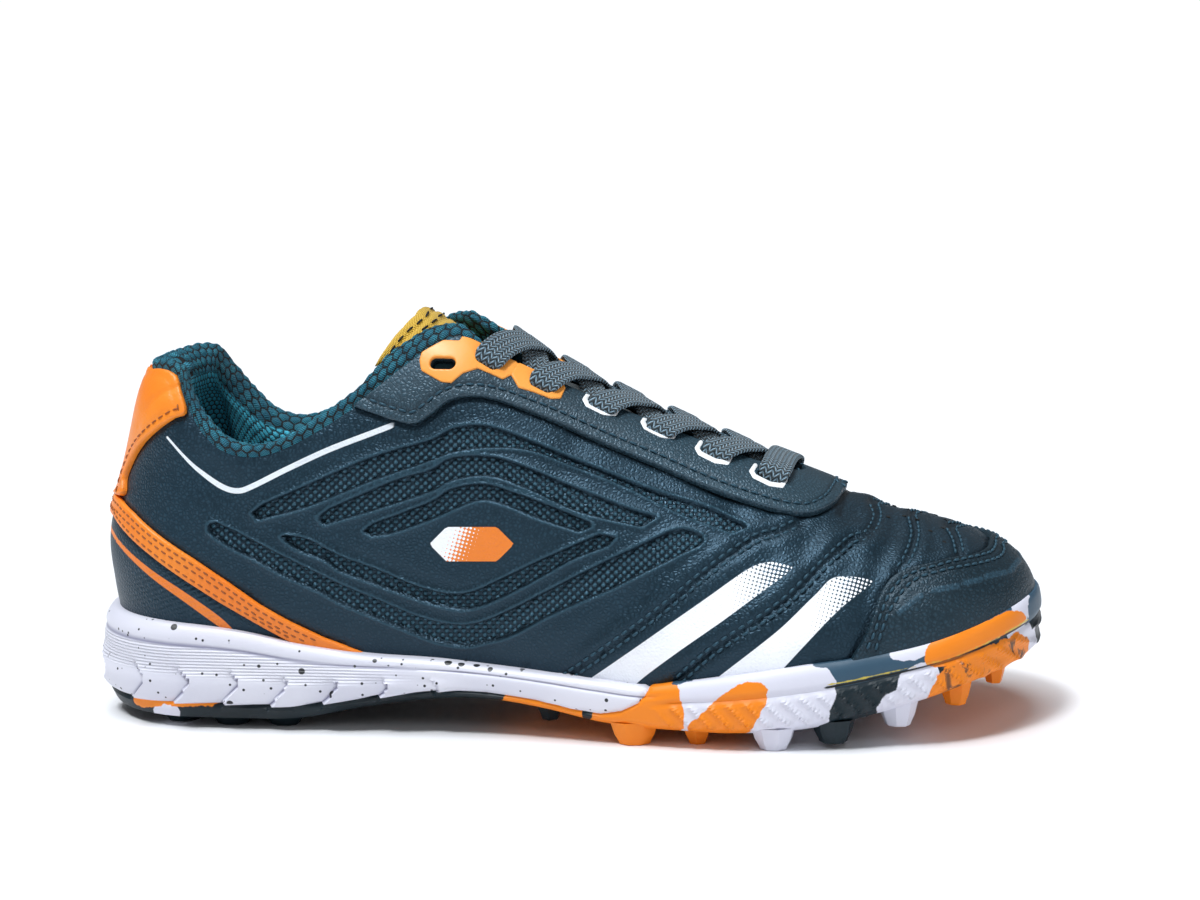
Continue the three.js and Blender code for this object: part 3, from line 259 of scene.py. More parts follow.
def cut(sk, name, level=0.0):
    """Puts points along the line where a value passes a level."""
    d = sk.A[name] - level
    d = np.where(np.abs(d) < 1e-3, 0, d)
    g = np.sign(d)
    F = sk.F
    crossing = np.stack([g[F[:, k]] * g[F[:, (k + 1) % 3]] < 0 for k in range(3)], 1)
    E = np.stack([np.stack([F[:, k], F[:, (k + 1) % 3]], 1) for k in range(3)], 1)
    lo, hi = E.min(2), E.max(2)
    key = lo * (len(sk.V) + 1) + hi
    ks = np.unique(key[crossing])
    if len(ks) == 0:
        return sk
    a, b = ks // (len(sk.V) + 1), ks % (len(sk.V) + 1)
    w = (d[a] / (d[a] - d[b]))
    V = np.concatenate([sk.V, sk.V[a] + (sk.V[b] - sk.V[a]) * w[:, None]])
    N = sk.N[a] + (sk.N[b] - sk.N[a]) * w[:, None]
    N = np.concatenate([sk.N, N / np.linalg.norm(N, axis=1, keepdims=True)])
    A = {}
    for k, v in sk.A.items():
        new = v[a] + (v[b] - v[a]) * w
        A[k] = np.concatenate([v, new])
    A[name][len(sk.V):] = level
    mid = np.where(crossing, len(sk.V) + np.searchsorted(ks, np.where(crossing, key, ks[0])), -1)
    count = crossing.sum(1)
    out = [F[count == 0]]
    for k in range(3):
        one = (count == 1) & crossing[:, k]
        f, m = F[one], mid[one, k]
        p, q, r = f[:, k], f[:, (k + 1) % 3], f[:, (k + 2) % 3]
        out += [np.stack([p, m, r], 1), np.stack([m, q, r], 1)]
        two = (count == 2) & crossing[:, k] & crossing[:, (k + 2) % 3]
        f = F[two]
        m1, m2 = mid[two, k], mid[two, (k + 2) % 3]
        p, q, r = f[:, k], f[:, (k + 1) % 3], f[:, (k + 2) % 3]
        out += [np.stack([p, m1, m2], 1), np.stack([m1, q, r], 1), np.stack([m1, r, m2], 1)]
    return Skin(V, N, np.concatenate(out), A)


def keep(sk, faces):
    F = sk.F[faces]
    used = np.unique(F)
    to = np.full(len(sk.V), -1)
    to[used] = np.arange(len(used))
    return Skin(sk.V[used], sk.N[used], to[F], {k: a[used] for k, a in sk.A.items()})


def clip(sk, name, level=0.0):
    """Keeps the side where the value is below the level."""
    sk = cut(sk, name, level)
    d = sk.A[name] - level
    return keep(sk, (d[sk.F].max(1) < 1e-3) & (d[sk.F].min(1) < -1e-4))


def border(F):
    E = np.concatenate([F[:, [0, 1]], F[:, [1, 2]], F[:, [2, 0]]])
    key = np.sort(E, 1)
    key = key[:, 0] * (F.max() + 1) + key[:, 1]
    _, inv, cnt = np.unique(key, return_inverse=True, return_counts=True)
    return E[cnt[inv.reshape(-1)] == 1]


def with_rim(sk, top, depth):
    """The skin moved out by `top`, with its border carried down along the normal to `depth`."""
    V = sk.V + sk.N * np.reshape(top, (-1, 1))
    E = border(sk.F)
    b = np.unique(E)
    to = np.full(len(V), -1)
    to[b] = np.arange(len(b))
    low = sk.V[b] + sk.N[b] * depth
    n = len(V)
    a, c = E[:, 0], E[:, 1]
    W = np.concatenate([np.stack([a, n + to[a], n + to[c]], 1), np.stack([a, n + to[c], c], 1)])
    A = {k: np.concatenate([v, v[b]]) for k, v in sk.A.items()}
    return np.concatenate([V, low]), np.concatenate([sk.F, W]), A


def segment_distance(P, L, closed=False):
    L = np.asarray(L, float)
    A, B = (L, np.roll(L, -1, 0)) if closed else (L[:-1], L[1:])
    D = B - A
    ll = np.maximum((D * D).sum(1), 1e-12)
    best = np.full(len(P), 1e9)
    for i in range(0, len(P), 4000):
        q = P[i:i + 4000, None] - A[None]
        u = np.clip((q * D[None]).sum(2) / ll, 0, 1)
        best[i:i + 4000] = np.sqrt((((q - u[..., None] * D[None]) ** 2).sum(2)).min(1))
    return best


def inside(P, poly):
    x, y = P[:, 0], P[:, 1]
    c = np.zeros(len(P), bool)
    for (x0, y0), (x1, y1) in zip(poly, np.roll(poly, -1, 0)):
        if y0 == y1:
            continue
        hit = ((y0 > y) != (y1 > y)) & (x < (x1 - x0) * (y - y0) / (y1 - y0) + x0)
        c ^= hit
    return c


def smooth(pts, n=6, closed=False):
    p = np.asarray(pts, float)
    k = len(p)
    out = []
    for i in range(k if closed else k - 1):
        a, b = (p[i - 1] if (closed or i) else 2 * p[0] - p[1]), p[i]
        c = p[(i + 1) % k]
        d = p[(i + 2) % k] if (closed or i + 2 < k) else 2 * p[-1] - p[-2]
        for u in np.arange(n) / n:
            out.append(0.5 * ((2 * b) + (c - a) * u + (2 * a - 5 * b + 4 * c - d) * u ** 2 + (3 * b - a - 3 * c + d) * u ** 3))
    if not closed:
        out.append(p[-1])
    return np.array(out)


def area_distance(pix, poly, reach=60):
    """Signed distance in mm to a shape drawn in pixels: negative inside."""
    d = np.full(len(pix), 30.0)
    lo, hi = poly.min(0) - reach, poly.max(0) + reach
    near = np.all((pix > lo) & (pix < hi), axis=1)
    q = pix[near]
    d[near] = segment_distance(q, poly, closed=True) * PX * np.where(inside(q, poly), -1, 1)
    return d


def path_distance(pix, pts, reach=40):
    pts = np.asarray(pts, float)
    d = np.full(len(pix), 30.0)
    near = np.all((pix > pts.min(0) - reach) & (pix < pts.max(0) + reach), axis=1)
    d[near] = segment_distance(pix[near], pts) * PX
    return d


# ------------------------------------------------------------------ the form as grids
def form_grid(t, f):
    """Both sides on the same t and f, welded: points, normals and their places."""
    parts, grids = [], []
    m = len(f)
    for side in (0, 1):
        P, r, arc = surface(side, t, np.broadcast_to(f, (len(t), m)).copy())
        grids.append(P)
        A = {"t": np.repeat(t, m), "f": np.tile(f, len(t)), "r": r.ravel(), "side": np.full(P.shape[0] * m, float(side)), "arc": (f[None] * arc[:, None]).ravel()}
        parts.append((P.reshape(-1, 3), A))
    vx, vy = project(grids[0].reshape(-1, 3))
    for _, A in parts:
        A["px"], A["py"] = vx.copy(), vy.copy()
    n = len(t) * m
    V = np.concatenate([parts[0][0], parts[1][0]])
    A = {k: np.concatenate([parts[0][1][k], parts[1][1][k]]) for k in parts[0][1]}
    F = np.concatenate([grid_faces(len(t), m), grid_faces(len(t), m, True, n)])
    V, F, A = weld(V, F, A)
    A["s"] = V[:, 0].copy()
    A["z"] = V[:, 2].copy()
    A["off"] = np.abs(V[:, 1] - ridge_y(V[:, 0]))
    return Skin(V, normals_of(V, F), F, A), grids


STEP = 1.0
ts = np.concatenate([np.linspace(0, T_HEEL, int(T_HEEL / STEP) + 1)[:-1], np.linspace(T_HEEL, T_TOE, int((T_TOE - T_HEEL) / STEP) + 1)[:-1], np.linspace(T_TOE, T_END, int((T_END - T_TOE) / STEP) + 1)])
fs = np.linspace(0.0, 1, 104)
base, GRIDS = form_grid(ts, fs)


def grid_normals(P, flip):
    du = np.gradient(P, axis=0)
    dv = np.gradient(P, axis=1)
    n = np.cross(du, dv)
    if flip:
        n = -n
    return n / np.maximum(np.linalg.norm(n, axis=2, keepdims=True), 1e-9)


NORMALS = [grid_normals(GRIDS[0], False), grid_normals(GRIDS[1], True)]


def bilinear(G, t, f):
    i = np.clip(np.searchsorted(ts, t) - 1, 0, len(ts) - 2)
    a = np.clip((t - ts[i]) / (ts[i + 1] - ts[i]), 0, 1)[:, None]
    x = np.clip(f, 0, 1) * (len(fs) - 1)
    j = np.clip(np.floor(x).astype(int), 0, len(fs) - 2)
    b = (x - j)[:, None]
    return (G[i, j] * (1 - a) + G[i + 1, j] * a) * (1 - b) + (G[i, j + 1] * (1 - a) + G[i + 1, j + 1] * a) * b


def at(side, t, f):
    t, f = np.atleast_1d(t).astype(float), np.atleast_1d(f).astype(float)
    n = bilinear(NORMALS[side], t, f)
    return bilinear(GRIDS[side], t, f), n / np.linalg.norm(n, axis=1, keepdims=True)


# pixel -> place on the outer side
outer_faces = grid_faces(len(ts), len(fs))
bvh = BVHTree.FromPolygons(GRIDS[0].reshape(-1, 3).tolist(), outer_faces.tolist())
_t0, _f0 = np.repeat(ts, len(fs)), np.tile(fs, len(ts))


def from_pixels(pts):
    """(t, f) on the outer side under each pixel."""
    out = []
    for x, y in np.asarray(pts, float):
        d = -back * FOCAL + right * (x - 600) + upv * (450 - y)
        hit, _, i, _ = bvh.ray_cast(Vector(EYE), Vector(d / np.linalg.norm(d)))
        if hit is None:
            continue
        tri = outer_faces[i]
        A, B, C = (GRIDS[0].reshape(-1, 3)[k] for k in tri)
        w = np.linalg.lstsq(np.stack([A, B, C], 1), np.array(hit), rcond=None)[0]
        w = w / w.sum()
        out.append((float(w @ _t0[tri]), float(w @ _f0[tri])))
    return np.array(out)


def from_side(side, pts):
    """(t, f) of points given as s and height, seen square from the side."""
    G = GRIDS[side]
    out = []
    for s, z in np.asarray(pts, float):
        j = np.array([np.interp(z, G[i, :, 2], fs) for i in range(len(ts))])
        ss = np.array([np.interp(j[i], fs, G[i, :, 0]) for i in range(len(ts))])
        k = np.maximum.accumulate(ss)
        t = float(np.interp(s, k, ts))
        out.append((t, float(np.interp(t, ts, j))))
    return np.array(out)


def from_plan(side, pts):
    """(t, f) of points given as s and distance off the ridge, seen from above."""
    out = []
    for s, off in np.asarray(pts, float):
        if s > 240:
            turn, r = math.atan2(s - 240, max(off, 1e-6)), math.hypot(s - 240, off)
            t = T_TOE + 40 * turn
        else:
            t, r = T_HEEL + (s - 34), off
        _, _, _, _, p = sections(side, np.array([t]))
        d = up(p, DENSE[None])[0]
        arc = np.concatenate([[0], np.cumsum(np.linalg.norm(np.diff(d, axis=0), axis=1))])
        k = int(np.argmax(d[:, 0]))
        f = float(np.interp(-r, -d[k:, 0], arc[k:] / arc[-1]))
        out.append((t, f))
    return np.array(out)


def face(s, y):
    """Points on the form under plan places near the ridge, and the outward direction there."""
    s, y = np.atleast_1d(s).astype(float), np.atleast_1d(y).astype(float)
    ry = ridge_y(s)
    P, N = np.empty((len(s), 3)), np.empty((len(s), 3))
    for side in (0, 1):
        m = (y < ry) if side == 0 else (y >= ry)
        if m.any():
            tf = from_plan(side, np.stack([s[m], np.abs(y[m] - ry[m])], 1))
            P[m], N[m] = at(side, tf[:, 0], tf[:, 1])
    return P, N


# ------------------------------------------------------------------ making objects
pieces = []


def make(name, V, F, material, replaces=(), A=None, angle=40):
    V = np.asarray(V, float)
    V = (V + SHIFT) * MM
    me = bpy.data.meshes.new(name)
    F = np.asarray(F)
    me.vertices.add(len(V))
    me.vertices.foreach_set("co", V.astype(np.float32).ravel())
    me.loops.add(F.size)
    me.loops.foreach_set("vertex_index", F.astype(np.int32).ravel())
    me.polygons.add(len(F))
    me.polygons.foreach_set("loop_start", (np.arange(len(F)) * F.shape[1]).astype(np.int32))
    me.polygons.foreach_set("loop_total", np.full(len(F), F.shape[1], np.int32))
    me.update(calc_edges=True)
    me.validate()
    for k, v in (A or {}).items():
        me.attributes.new(k, "FLOAT", "POINT").data.foreach_set("value", np.asarray(v, np.float32))
    me.polygons.foreach_set("use_smooth", np.ones(len(me.polygons), bool))
    if angle:
        me.set_sharp_from_angle(angle=math.radians(angle))
    ob = bpy.data.objects.new(name, me)
    bpy.context.scene.collection.objects.link(ob)
    me.materials.append(material)
    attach(ob, "root")
    if replaces:
        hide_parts(*replaces)
    pieces.append(ob)
    return ob


def pick(sk, *names):
    return {k: sk[k] for k in names}


# ------------------------------------------------------------------ materials
def srgb(r, g, b):
    return tuple(c / 12.92 if c <= 0.04045 else ((c + 0.055) / 1.055) ** 2.4 for c in (r, g, b)) + (1.0,)


class Val:
    def __init__(self, m, sock):
        self.m, self.s = m, sock

    def op(self, kind, b=0.0, c=None):
        n = self.m.node("ShaderNodeMath", operation=kind)
        for i, v in enumerate((self, b, c)):
            if v is not None and i < len(n.inputs):
                self.m.put(n.inputs[i], v)
        return Val(self.m, n.outputs[0])

    def __add__(self, o): return self.op("ADD", o)
    def __radd__(self, o): return self.op("ADD", o)
    def __sub__(self, o): return self.op("SUBTRACT", o)
    def __rsub__(self, o): return (self * -1.0) + o
    def __mul__(self, o): return self.op("MULTIPLY", o)
    def __rmul__(self, o): return self.op("MULTIPLY", o)
    def __truediv__(self, o): return self.op("DIVIDE", o)
    def abs(self): return self.op("ABSOLUTE")
    def min(self, o): return self.op("MINIMUM", o)
    def max(self, o): return self.op("MAXIMUM", o)
    def sin(self): return self.op("SINE")
    def frac(self, size=1.0): return self.op("FLOORED_MODULO", size)
    def above(self, o): return self.op("GREATER_THAN", o)

    def ramp(self, a, b, lo=0.0, hi=1.0):
        n = self.m.node("ShaderNodeMapRange", interpolation_type="SMOOTHSTEP", clamp=True)
        self.m.put(n.inputs["Value"], self)
        if a > b:
            a, b, lo, hi = b, a, hi, lo
        for k, v in (("From Min", a), ("From Max", b), ("To Min", lo), ("To Max", hi)):
            n.inputs[k].default_value = v
        return Val(self.m, n.outputs["Result"])


class Mat:
    def __init__(self, name, colour=(0.5, 0.5, 0.5), rough=0.5, **kw):
        self.mat = bpy.data.materials.new(name)
        self.mat.use_nodes = True
        self.nt = self.mat.node_tree
        self.b = self.nt.nodes["Principled BSDF"]
        self.b.inputs["Base Color"].default_value = srgb(*colour)
        self.b.inputs["Roughness"].default_value = rough
        for k, v in kw.items():
            self.b.inputs[k.replace("_", " ")].default_value = v

    def node(self, kind, **kw):
        n = self.nt.nodes.new(kind)
        for k, v in kw.items():
            setattr(n, k, v)
        return n

    def put(self, socket, v):
        if isinstance(v, Val):
            self.nt.links.new(v.s, socket)
        elif isinstance(v, tuple):
            socket.default_value = v
        else:
            socket.default_value = float(v)

    def attr(self, name):
        return Val(self, self.node("ShaderNodeAttribute", attribute_name=name).outputs["Fac"])

    def coord(self):
        return Val(self, self.node("ShaderNodeTexCoord").outputs["Object"])

    def vec(self, x, y, z=0.0):
        n = self.node("ShaderNodeCombineXYZ")
        for i, v in enumerate((x, y, z)):
            self.put(n.inputs[i], v)
        return Val(self, n.outputs[0])

    def noise(self, scale, detail=2.0, rough=0.5, at=None, distort=0.0):
        n = self.node("ShaderNodeTexNoise")
        self.put(n.inputs["Vector"], at if at is not None else self.coord())
        n.inputs["Scale"].default_value = scale
        n.inputs["Detail"].default_value = detail
        n.inputs["Roughness"].default_value = rough
        n.inputs["Distortion"].default_value = distort
        return Val(self, n.outputs["Fac"])

    def voronoi(self, scale, randomness=1.0, at=None, feature="F1", out="Distance", dims="3D"):
        n = self.node("ShaderNodeTexVoronoi", feature=feature, voronoi_dimensions=dims)
        self.put(n.inputs["Vector"], at if at is not None else self.coord())
        n.inputs["Scale"].default_value = scale
        n.inputs["Randomness"].default_value = randomness
        return Val(self, n.outputs[out])

    def mix(self, fac, a, b):
        n = self.node("ShaderNodeMix", data_type="RGBA")
        self.put(n.inputs[0], fac)
        for sock, v in ((n.inputs[6], a), (n.inputs[7], b)):
            if isinstance(v, Val):
                self.nt.links.new(v.s, sock)
            else:
                sock.default_value = v
        return Val(self, n.outputs[2])

    def colour(self, v):
        self.nt.links.new(v.s, self.b.inputs["Base Color"])

    def rough(self, v):
        self.nt.links.new(v.s, self.b.inputs["Roughness"])

    def bump(self, *layers):
        """Layers of (height value, depth in mm)."""
        last = None
        for h, mm in layers:
            n = self.node("ShaderNodeBump")
            n.inputs["Strength"].default_value = 1.0
            n.inputs["Distance"].default_value = mm * MM
            self.put(n.inputs["Height"], h)
            if last:
                self.nt.links.new(last, n.inputs["Normal"])
            last = n.outputs[0]
        self.nt.links.new(last, self.b.inputs["Normal"])


def hexcell(u, w, pitch):
    """Distance from the edge of a six-sided cell, 0 at the edge and 0.5 in the middle. Works on arrays and on node values."""
    if isinstance(u, Val):
        x, y = u / pitch, w / pitch
        ax, ay = x.frac(1.0) - 0.5, y.frac(1.7320508) - 0.8660254
        bx, by = (x - 0.5).frac(1.0) - 0.5, (y - 0.8660254).frac(1.7320508) - 0.8660254

        def edge(gx, gy):
            gx, gy = gx.abs(), gy.abs()
            return 0.5 - gx.max(gx * 0.5 + gy * 0.8660254)
        return edge(ax, ay).max(edge(bx, by))
    x, y = u / pitch, w / pitch
    best = None
    for sx, sy in ((0, 0), (0.5, 0.8660254)):
        gx, gy = np.abs((x - sx) % 1.0 - 0.5), np.abs((y - sy) % 1.7320508 - 0.8660254)
        e = 0.5 - np.maximum(gx, gx * 0.5 + gy * 0.8660254)
        best = e if best is None else np.maximum(best, e)
    return best


NAVY = (0.072, 0.140, 0.178)
NAVY_LIGHT = (0.165, 0.275, 0.325)
ORANGE = (0.93, 0.50, 0.10)
WHITE = (0.97, 0.975, 0.99)


def leather_bump(m):
    grain = m.voronoi(880, 1.0, feature="DISTANCE_TO_EDGE")
    wide = m.noise(38, 2)
    return [(wide, 0.12), (grain.ramp(0.0, 0.38), 0.10)]


def grained(m, col):
    """Painted shade in the grain's hollows and a painted highlight on its tops."""
    grain = m.voronoi(880, 1.0, feature="DISTANCE_TO_EDGE")
    col = m.mix(grain.ramp(0.14, 0.0) * 0.5, col, srgb(0.02, 0.04, 0.055))
    return m.mix(grain.ramp(0.16, 0.42) * 0.22, col, srgb(0.22, 0.34, 0.41))


def leather(name, colour, rough=0.42, light=1.0, dash=False, gloss=0.85):
    m = Mat(name, colour, rough)
    n = m.noise(14, 3)
    a = srgb(*[c * 0.90 * light for c in colour])
    b = srgb(*[min(c * 1.10 * light, 1) for c in colour])
    col = m.mix(n.ramp(0.3, 0.7), a, b)
    if dash:
        col = m.mix(m.attr("dash").ramp(0.25, 0.7) * 0.55, col, srgb(0.20, 0.32, 0.39))
    # Painted shade: near-black along the stitch-row grooves, where the 'rows' value is high.
    m.colour(m.mix(m.attr("rows") * 0.7, grained(m, col), srgb(0.01, 0.016, 0.022)))
    m.rough(m.noise(35, 3).ramp(0.3, 0.75, rough - 0.02, rough + 0.08))
    m.b.inputs["Specular IOR Level"].default_value = gloss
    m.b.inputs["Specular Tint"].default_value = (0.62, 0.82, 1.0, 1.0)
    m.bump(*leather_bump(m))
    return m


M = {}

# upper: grain, the embossed channels' dots, printed lines
m = Mat("upper_leather", NAVY, 0.42)
chev, wline, oline = m.attr("chev"), m.attr("wline"), m.attr("oline")
st1, st2, fade1, fade2, px, py = m.attr("stripe1"), m.attr("stripe2"), m.attr("fade1"), m.attr("fade2"), m.attr("px"), m.attr("py")
n = m.noise(14, 3)
col = m.mix(n.ramp(0.3, 0.7), srgb(*[c * 0.9 for c in NAVY]), srgb(*[c * 1.1 for c in NAVY]))
col = grained(m, col)
# Painted shade: the leather darkens towards the sole, standing in for the light falling off lower down.
col = m.mix(m.attr("z").ramp(62, 12) * 0.72, col, srgb(0.03, 0.055, 0.072))
# Painted shade inside the embossed channels: their floors are darkened nearly to black.
inch = chev.ramp(0.1, -0.5)
col = m.mix(inch * 0.95, col, srgb(0.012, 0.028, 0.040))
c45 = 0.7071
gx, gy = (px * c45 + py * c45), (py * c45 - px * c45)
dots = m.voronoi(1 / 6.0, 0.0, at=m.vec(gx, gy), dims="2D")
# Painted highlight on the tops of the channels' raised dots.
col = m.mix(dots.ramp(0.42, 0.24) * chev.ramp(-0.35, -0.6), col, srgb(0.27, 0.41, 0.48))
half = m.voronoi(1 / 4.0, 0.0, at=m.vec(px * 0.966 + py * 0.259, py * 0.966 - px * 0.259), dims="2D")


def print_mask(dist, fade):
    solid = dist.ramp(0.10, -0.10)
    return solid * (half + fade * 1.12).ramp(0.82, 0.74)


white = srgb(*WHITE)
col = m.mix((wline.abs() - 0.32 - px.ramp(168, 225) * 0.50).ramp(0.08, -0.08) * px.ramp(165.5, 167.5) * px.ramp(395, 392), col, srgb(0.93, 0.95, 0.97))
col = m.mix(print_mask(st1, fade1), col, white)
col = m.mix(print_mask(st2, fade2), col, white)
col = m.mix(oline.ramp(0.10, -0.10), col, srgb(*ORANGE))
bd_, bf_ = m.attr("badge"), m.attr("bfade")
mark = m.mix((half + bf_ * 1.12).ramp(0.82, 0.74), srgb(*ORANGE), white)
col = m.mix(bd_.ramp(0.10, -0.10), col, srgb(0.05, 0.10, 0.12))
col = m.mix((bd_ + 0.55).ramp(0.08, -0.08), col, mark)
# Painted highlight on the raised lip just outside each channel's edge.
col = m.mix(chev.ramp(0.05, 0.35) * chev.ramp(1.1, 0.6) * 0.35, col, srgb(0.22, 0.345, 0.405))
# Painted shade along the facing, guard, band and tab edges and beside the seam stitch rows ('near').
col = m.mix(m.attr("near") * 0.9, col, srgb(0.01, 0.016, 0.022))
m.colour(col)
m.rough(m.noise(35, 3).ramp(0.3, 0.75, 0.39, 0.49) - inch * 0.08)
m.b.inputs["Specular IOR Level"].default_value = 0.62
m.b.inputs["Specular Tint"].default_value = (0.42, 0.72, 1.0, 1.0)
ribs_h = (py * (2 * math.pi / 5.2) + px * 0.35).sin() * px.ramp(122, 140) * px.ramp(236, 214) * (py - px * 0.16).ramp(541, 552)
m.bump(*(leather_bump(m) + [(dots.ramp(0.0, 0.50, 1.0, 0.0) * chev.ramp(-0.35, -0.6), 0.85), (ribs_h, 0.05)]))
M["upper"] = m.mat

# The facing's colour is a lighter copy of the navy leather: painted highlight standing in for the light on its
# upward-facing slope.
M["facing"] = leather("facing_leather", (0.14, 0.225, 0.268), 0.42).mat
M["guard"] = leather("guard_leather", (0.075, 0.145, 0.18), 0.42, 1.0, True, 0.5).mat

m = Mat("orange_trim", ORANGE, 0.42)
n = m.noise(900, 2)
m.colour(m.mix(m.noise(40, 3).ramp(0.35, 0.7), srgb(0.93, 0.485, 0.09), srgb(0.95, 0.54, 0.14)))
m.bump((m.voronoi(1300, 1.0), 0.06), (n, 0.04))
M["orange"] = m.mat

m = Mat("eyelet_orange", (0.96, 0.62, 0.26), 0.38)
m.bump((m.noise(900, 2), 0.03))
M["eyelet"] = m.mat
m = Mat("eyelet_white", (0.93, 0.94, 0.95), 0.4)
m.bump((m.noise(900, 2), 0.02))
M["eyelet_white"] = m.mat

m = Mat("stitch_dark", (0.17, 0.265, 0.315), 0.5)
m.b.inputs["Specular Tint"].default_value = (0.42, 0.72, 1.0, 1.0)
m.bump((m.noise(3000, 1), 0.05))
M["stitch"] = m.mat
m = Mat("stitch_orange", (0.58, 0.30, 0.09), 0.6)
m.bump((m.noise(3000, 1), 0.05))
M["stitch_orange"] = m.mat
m = Mat("stitch_black", (0.04, 0.045, 0.05), 0.7)
m.bump((m.noise(3000, 1), 0.05))
M["stitch_black"] = m.mat

# collar mesh: rounded pads woven in fine threads, with painted shade in the near-black gaps between them
m = Mat("collar_mesh", (0.1, 0.5, 0.55), 0.75)
u, w = m.attr("u"), m.attr("w")
zone = m.attr("zone").ramp(0.35, 0.65)
e = hexcell(u, w, 3.5) * (1.0 - zone) + hexcell(u, w, 2.3) * zone
thread = ((u * 9.0).sin() * (w * 9.0).sin())
pad_mask = e.ramp(0.03, 0.14)
col = m.mix(m.noise(220, 3).ramp(0.3, 0.7), srgb(0.15, 0.53, 0.64), srgb(0.28, 0.72, 0.82))
col = m.mix(thread.ramp(-0.5, 0.6), srgb(0.04, 0.28, 0.37), col)
# Painted light: the inner zone is lightened to offset the shade inside the heel.
col = m.mix(zone * 0.85, col, srgb(0.30, 0.80, 0.92))
# Painted shade in the gaps between the pads.
col = m.mix(pad_mask, srgb(0.015, 0.055, 0.07), col)
m.colour(col)
m.bump((e.ramp(0.0, 0.3), 0.7), (thread * (1.0 - zone * 0.6), 0.25))
M["collar"] = m.mat

m = Mat("lining_fabric", (0.12, 0.27, 0.315), 0.9)
m.bump((m.voronoi(700, 0.3), 0.3))
M["lining"] = m.mat

# tongue: yellow woven top, plain leather under the lacing
m = Mat("tongue_fabric", (0.88, 0.68, 0.2), 0.8)
u, w, top = m.attr("u"), m.attr("w"), m.attr("top")
weave = ((u * 7.5).sin() * (w * 7.5).sin())
col = m.mix(weave.ramp(-0.6, 0.8), srgb(0.78, 0.60, 0.14), srgb(0.97, 0.82, 0.33))
col = m.mix(m.noise(45, 3).ramp(0.35, 0.7) * 0.35, col, srgb(0.86, 0.67, 0.2))
col = m.mix(top.ramp(0.15, -0.15), srgb(0.09, 0.17, 0.2), col)
m.colour(col)
m.b.inputs["Sheen Weight"].default_value = 0.15
m.bump((weave, 0.16), (m.noise(120, 3), 0.25))
M["tongue"] = m.mat

# laces: flat braid
m = Mat("lace_braid", (0.12, 0.21, 0.245), 0.75)
u, w = m.attr("u"), m.attr("w")
k = 2 * math.pi / 1.5
her = (u + ((w + 20.125).frac(2.3) - 1.15).abs() * 1.15) * k
strand = her.sin()
across = ((w + 20.125) * (2 * math.pi / 1.15)).op("COSINE") * -1.0
# Painted highlight on the strands' raised ridges and painted shade between them, following the braid's relief.
col = m.mix(strand.ramp(-0.2, 0.7) * across.ramp(-1.0, 0.2, 0.35, 1.0), srgb(0.085, 0.155, 0.185), srgb(0.53, 0.65, 0.725))
m.colour(col)
m.b.inputs["Sheen Weight"].default_value = 0.2
m.bump((strand * 0.6 + across * 0.4, 0.45), (m.noise(2500, 2), 0.08))
M["lace"] = m.mat

# foam midsole: white with specks
m = Mat("midsole_foam", (0.90, 0.90, 0.94), 0.42)
q = m.attr("q")
sp = m.voronoi(230, 1.0)
spc = m.voronoi(230, 1.0, out="Color")
sel = Val(m, m.node("ShaderNodeSeparateColor").outputs[0])
m.nt.links.new(spc.s, sel.s.node.inputs[0])
size = Val(m, sel.s.node.outputs[1])
spot = sel.above(0.78) * (sp - size * 0.15).ramp(0.15, 0.11)
sp2, spc2 = m.voronoi(480, 1.0), m.voronoi(480, 1.0, out="Color")
sel2 = Val(m, m.node("ShaderNodeSeparateColor").outputs[0])
m.nt.links.new(spc2.s, sel2.s.node.inputs[0])
spot = spot.max(sel2.above(0.72) * sp2.ramp(0.24, 0.16))
col = m.mix(m.noise(25, 2).ramp(0.3, 0.7), srgb(0.82, 0.82, 0.87), srgb(0.86, 0.86, 0.90))
# Painted shade in the rim groove and in the hollows between the heel facets.
col = m.mix(m.attr("groove").ramp(0.2, 1.0) * 0.85, col, srgb(0.46, 0.46, 0.57))
col = m.mix(spot, col, srgb(0.07, 0.08, 0.10))
m.colour(col)
m.bump((m.noise(700, 2), 0.04), ((m.attr("z") * (2 * math.pi / 0.9)).sin() * m.attr("ribs"), 0.16))
M["foam"] = m.mat

# rubber: blocks of colour run into each other
m = Mat("outsole_rubber", (0.14, 0.25, 0.30), 0.45)
warp = (m.noise(90, 3) - 0.5) * 4.5
fine = (m.noise(420, 3) - 0.5) * 1.6
fo, fw, fy = m.attr("f_orange") + warp + fine, m.attr("f_white") + warp * -0.9 + fine, m.attr("f_yellow") + fine * 0.6
col = m.mix(m.noise(30, 2).ramp(0.3, 0.7), srgb(0.04, 0.095, 0.12), srgb(0.062, 0.128, 0.158))
m.b.inputs["Specular IOR Level"].default_value = 0.3
col = m.mix(m.attr("strip") * 0.9, col, srgb(0.22, 0.33, 0.41))
col = m.mix(fw.ramp(0.15, -0.15), col, srgb(0.84, 0.84, 0.89))
orange_in = fo.ramp(0.15, -0.15)
col = m.mix(orange_in, col, srgb(0.93, 0.52, 0.11))
col = m.mix(orange_in * m.attr("smear") * m.noise(130, 4, 0.6, None, 1.2).ramp(0.51, 0.60) * 0.85, col, srgb(0.11, 0.17, 0.18))
col = m.mix(m.attr("f_dark").ramp(0.15, -0.15), col, srgb(0.05, 0.08, 0.09))
col = m.mix(fy.ramp(0.15, -0.15), col, srgb(0.80, 0.72, 0.30))
m.colour(col)
m.bump((m.noise(600, 2), 0.05), (m.attr("slash"), 0.5))
M["rubber"] = m.mat

m = Mat("insole_fabric", (0.16, 0.36, 0.41), 0.9)
m.bump((m.voronoi(900, 0.4), 0.2))
M["insole"] = m.mat
# Painted shade: the perforation cups' near-black colour.
m = Mat("hole_dark", (0.02, 0.03, 0.035), 0.9)
m.bump((m.noise(900, 1), 0.02))
M["hole"] = m.mat

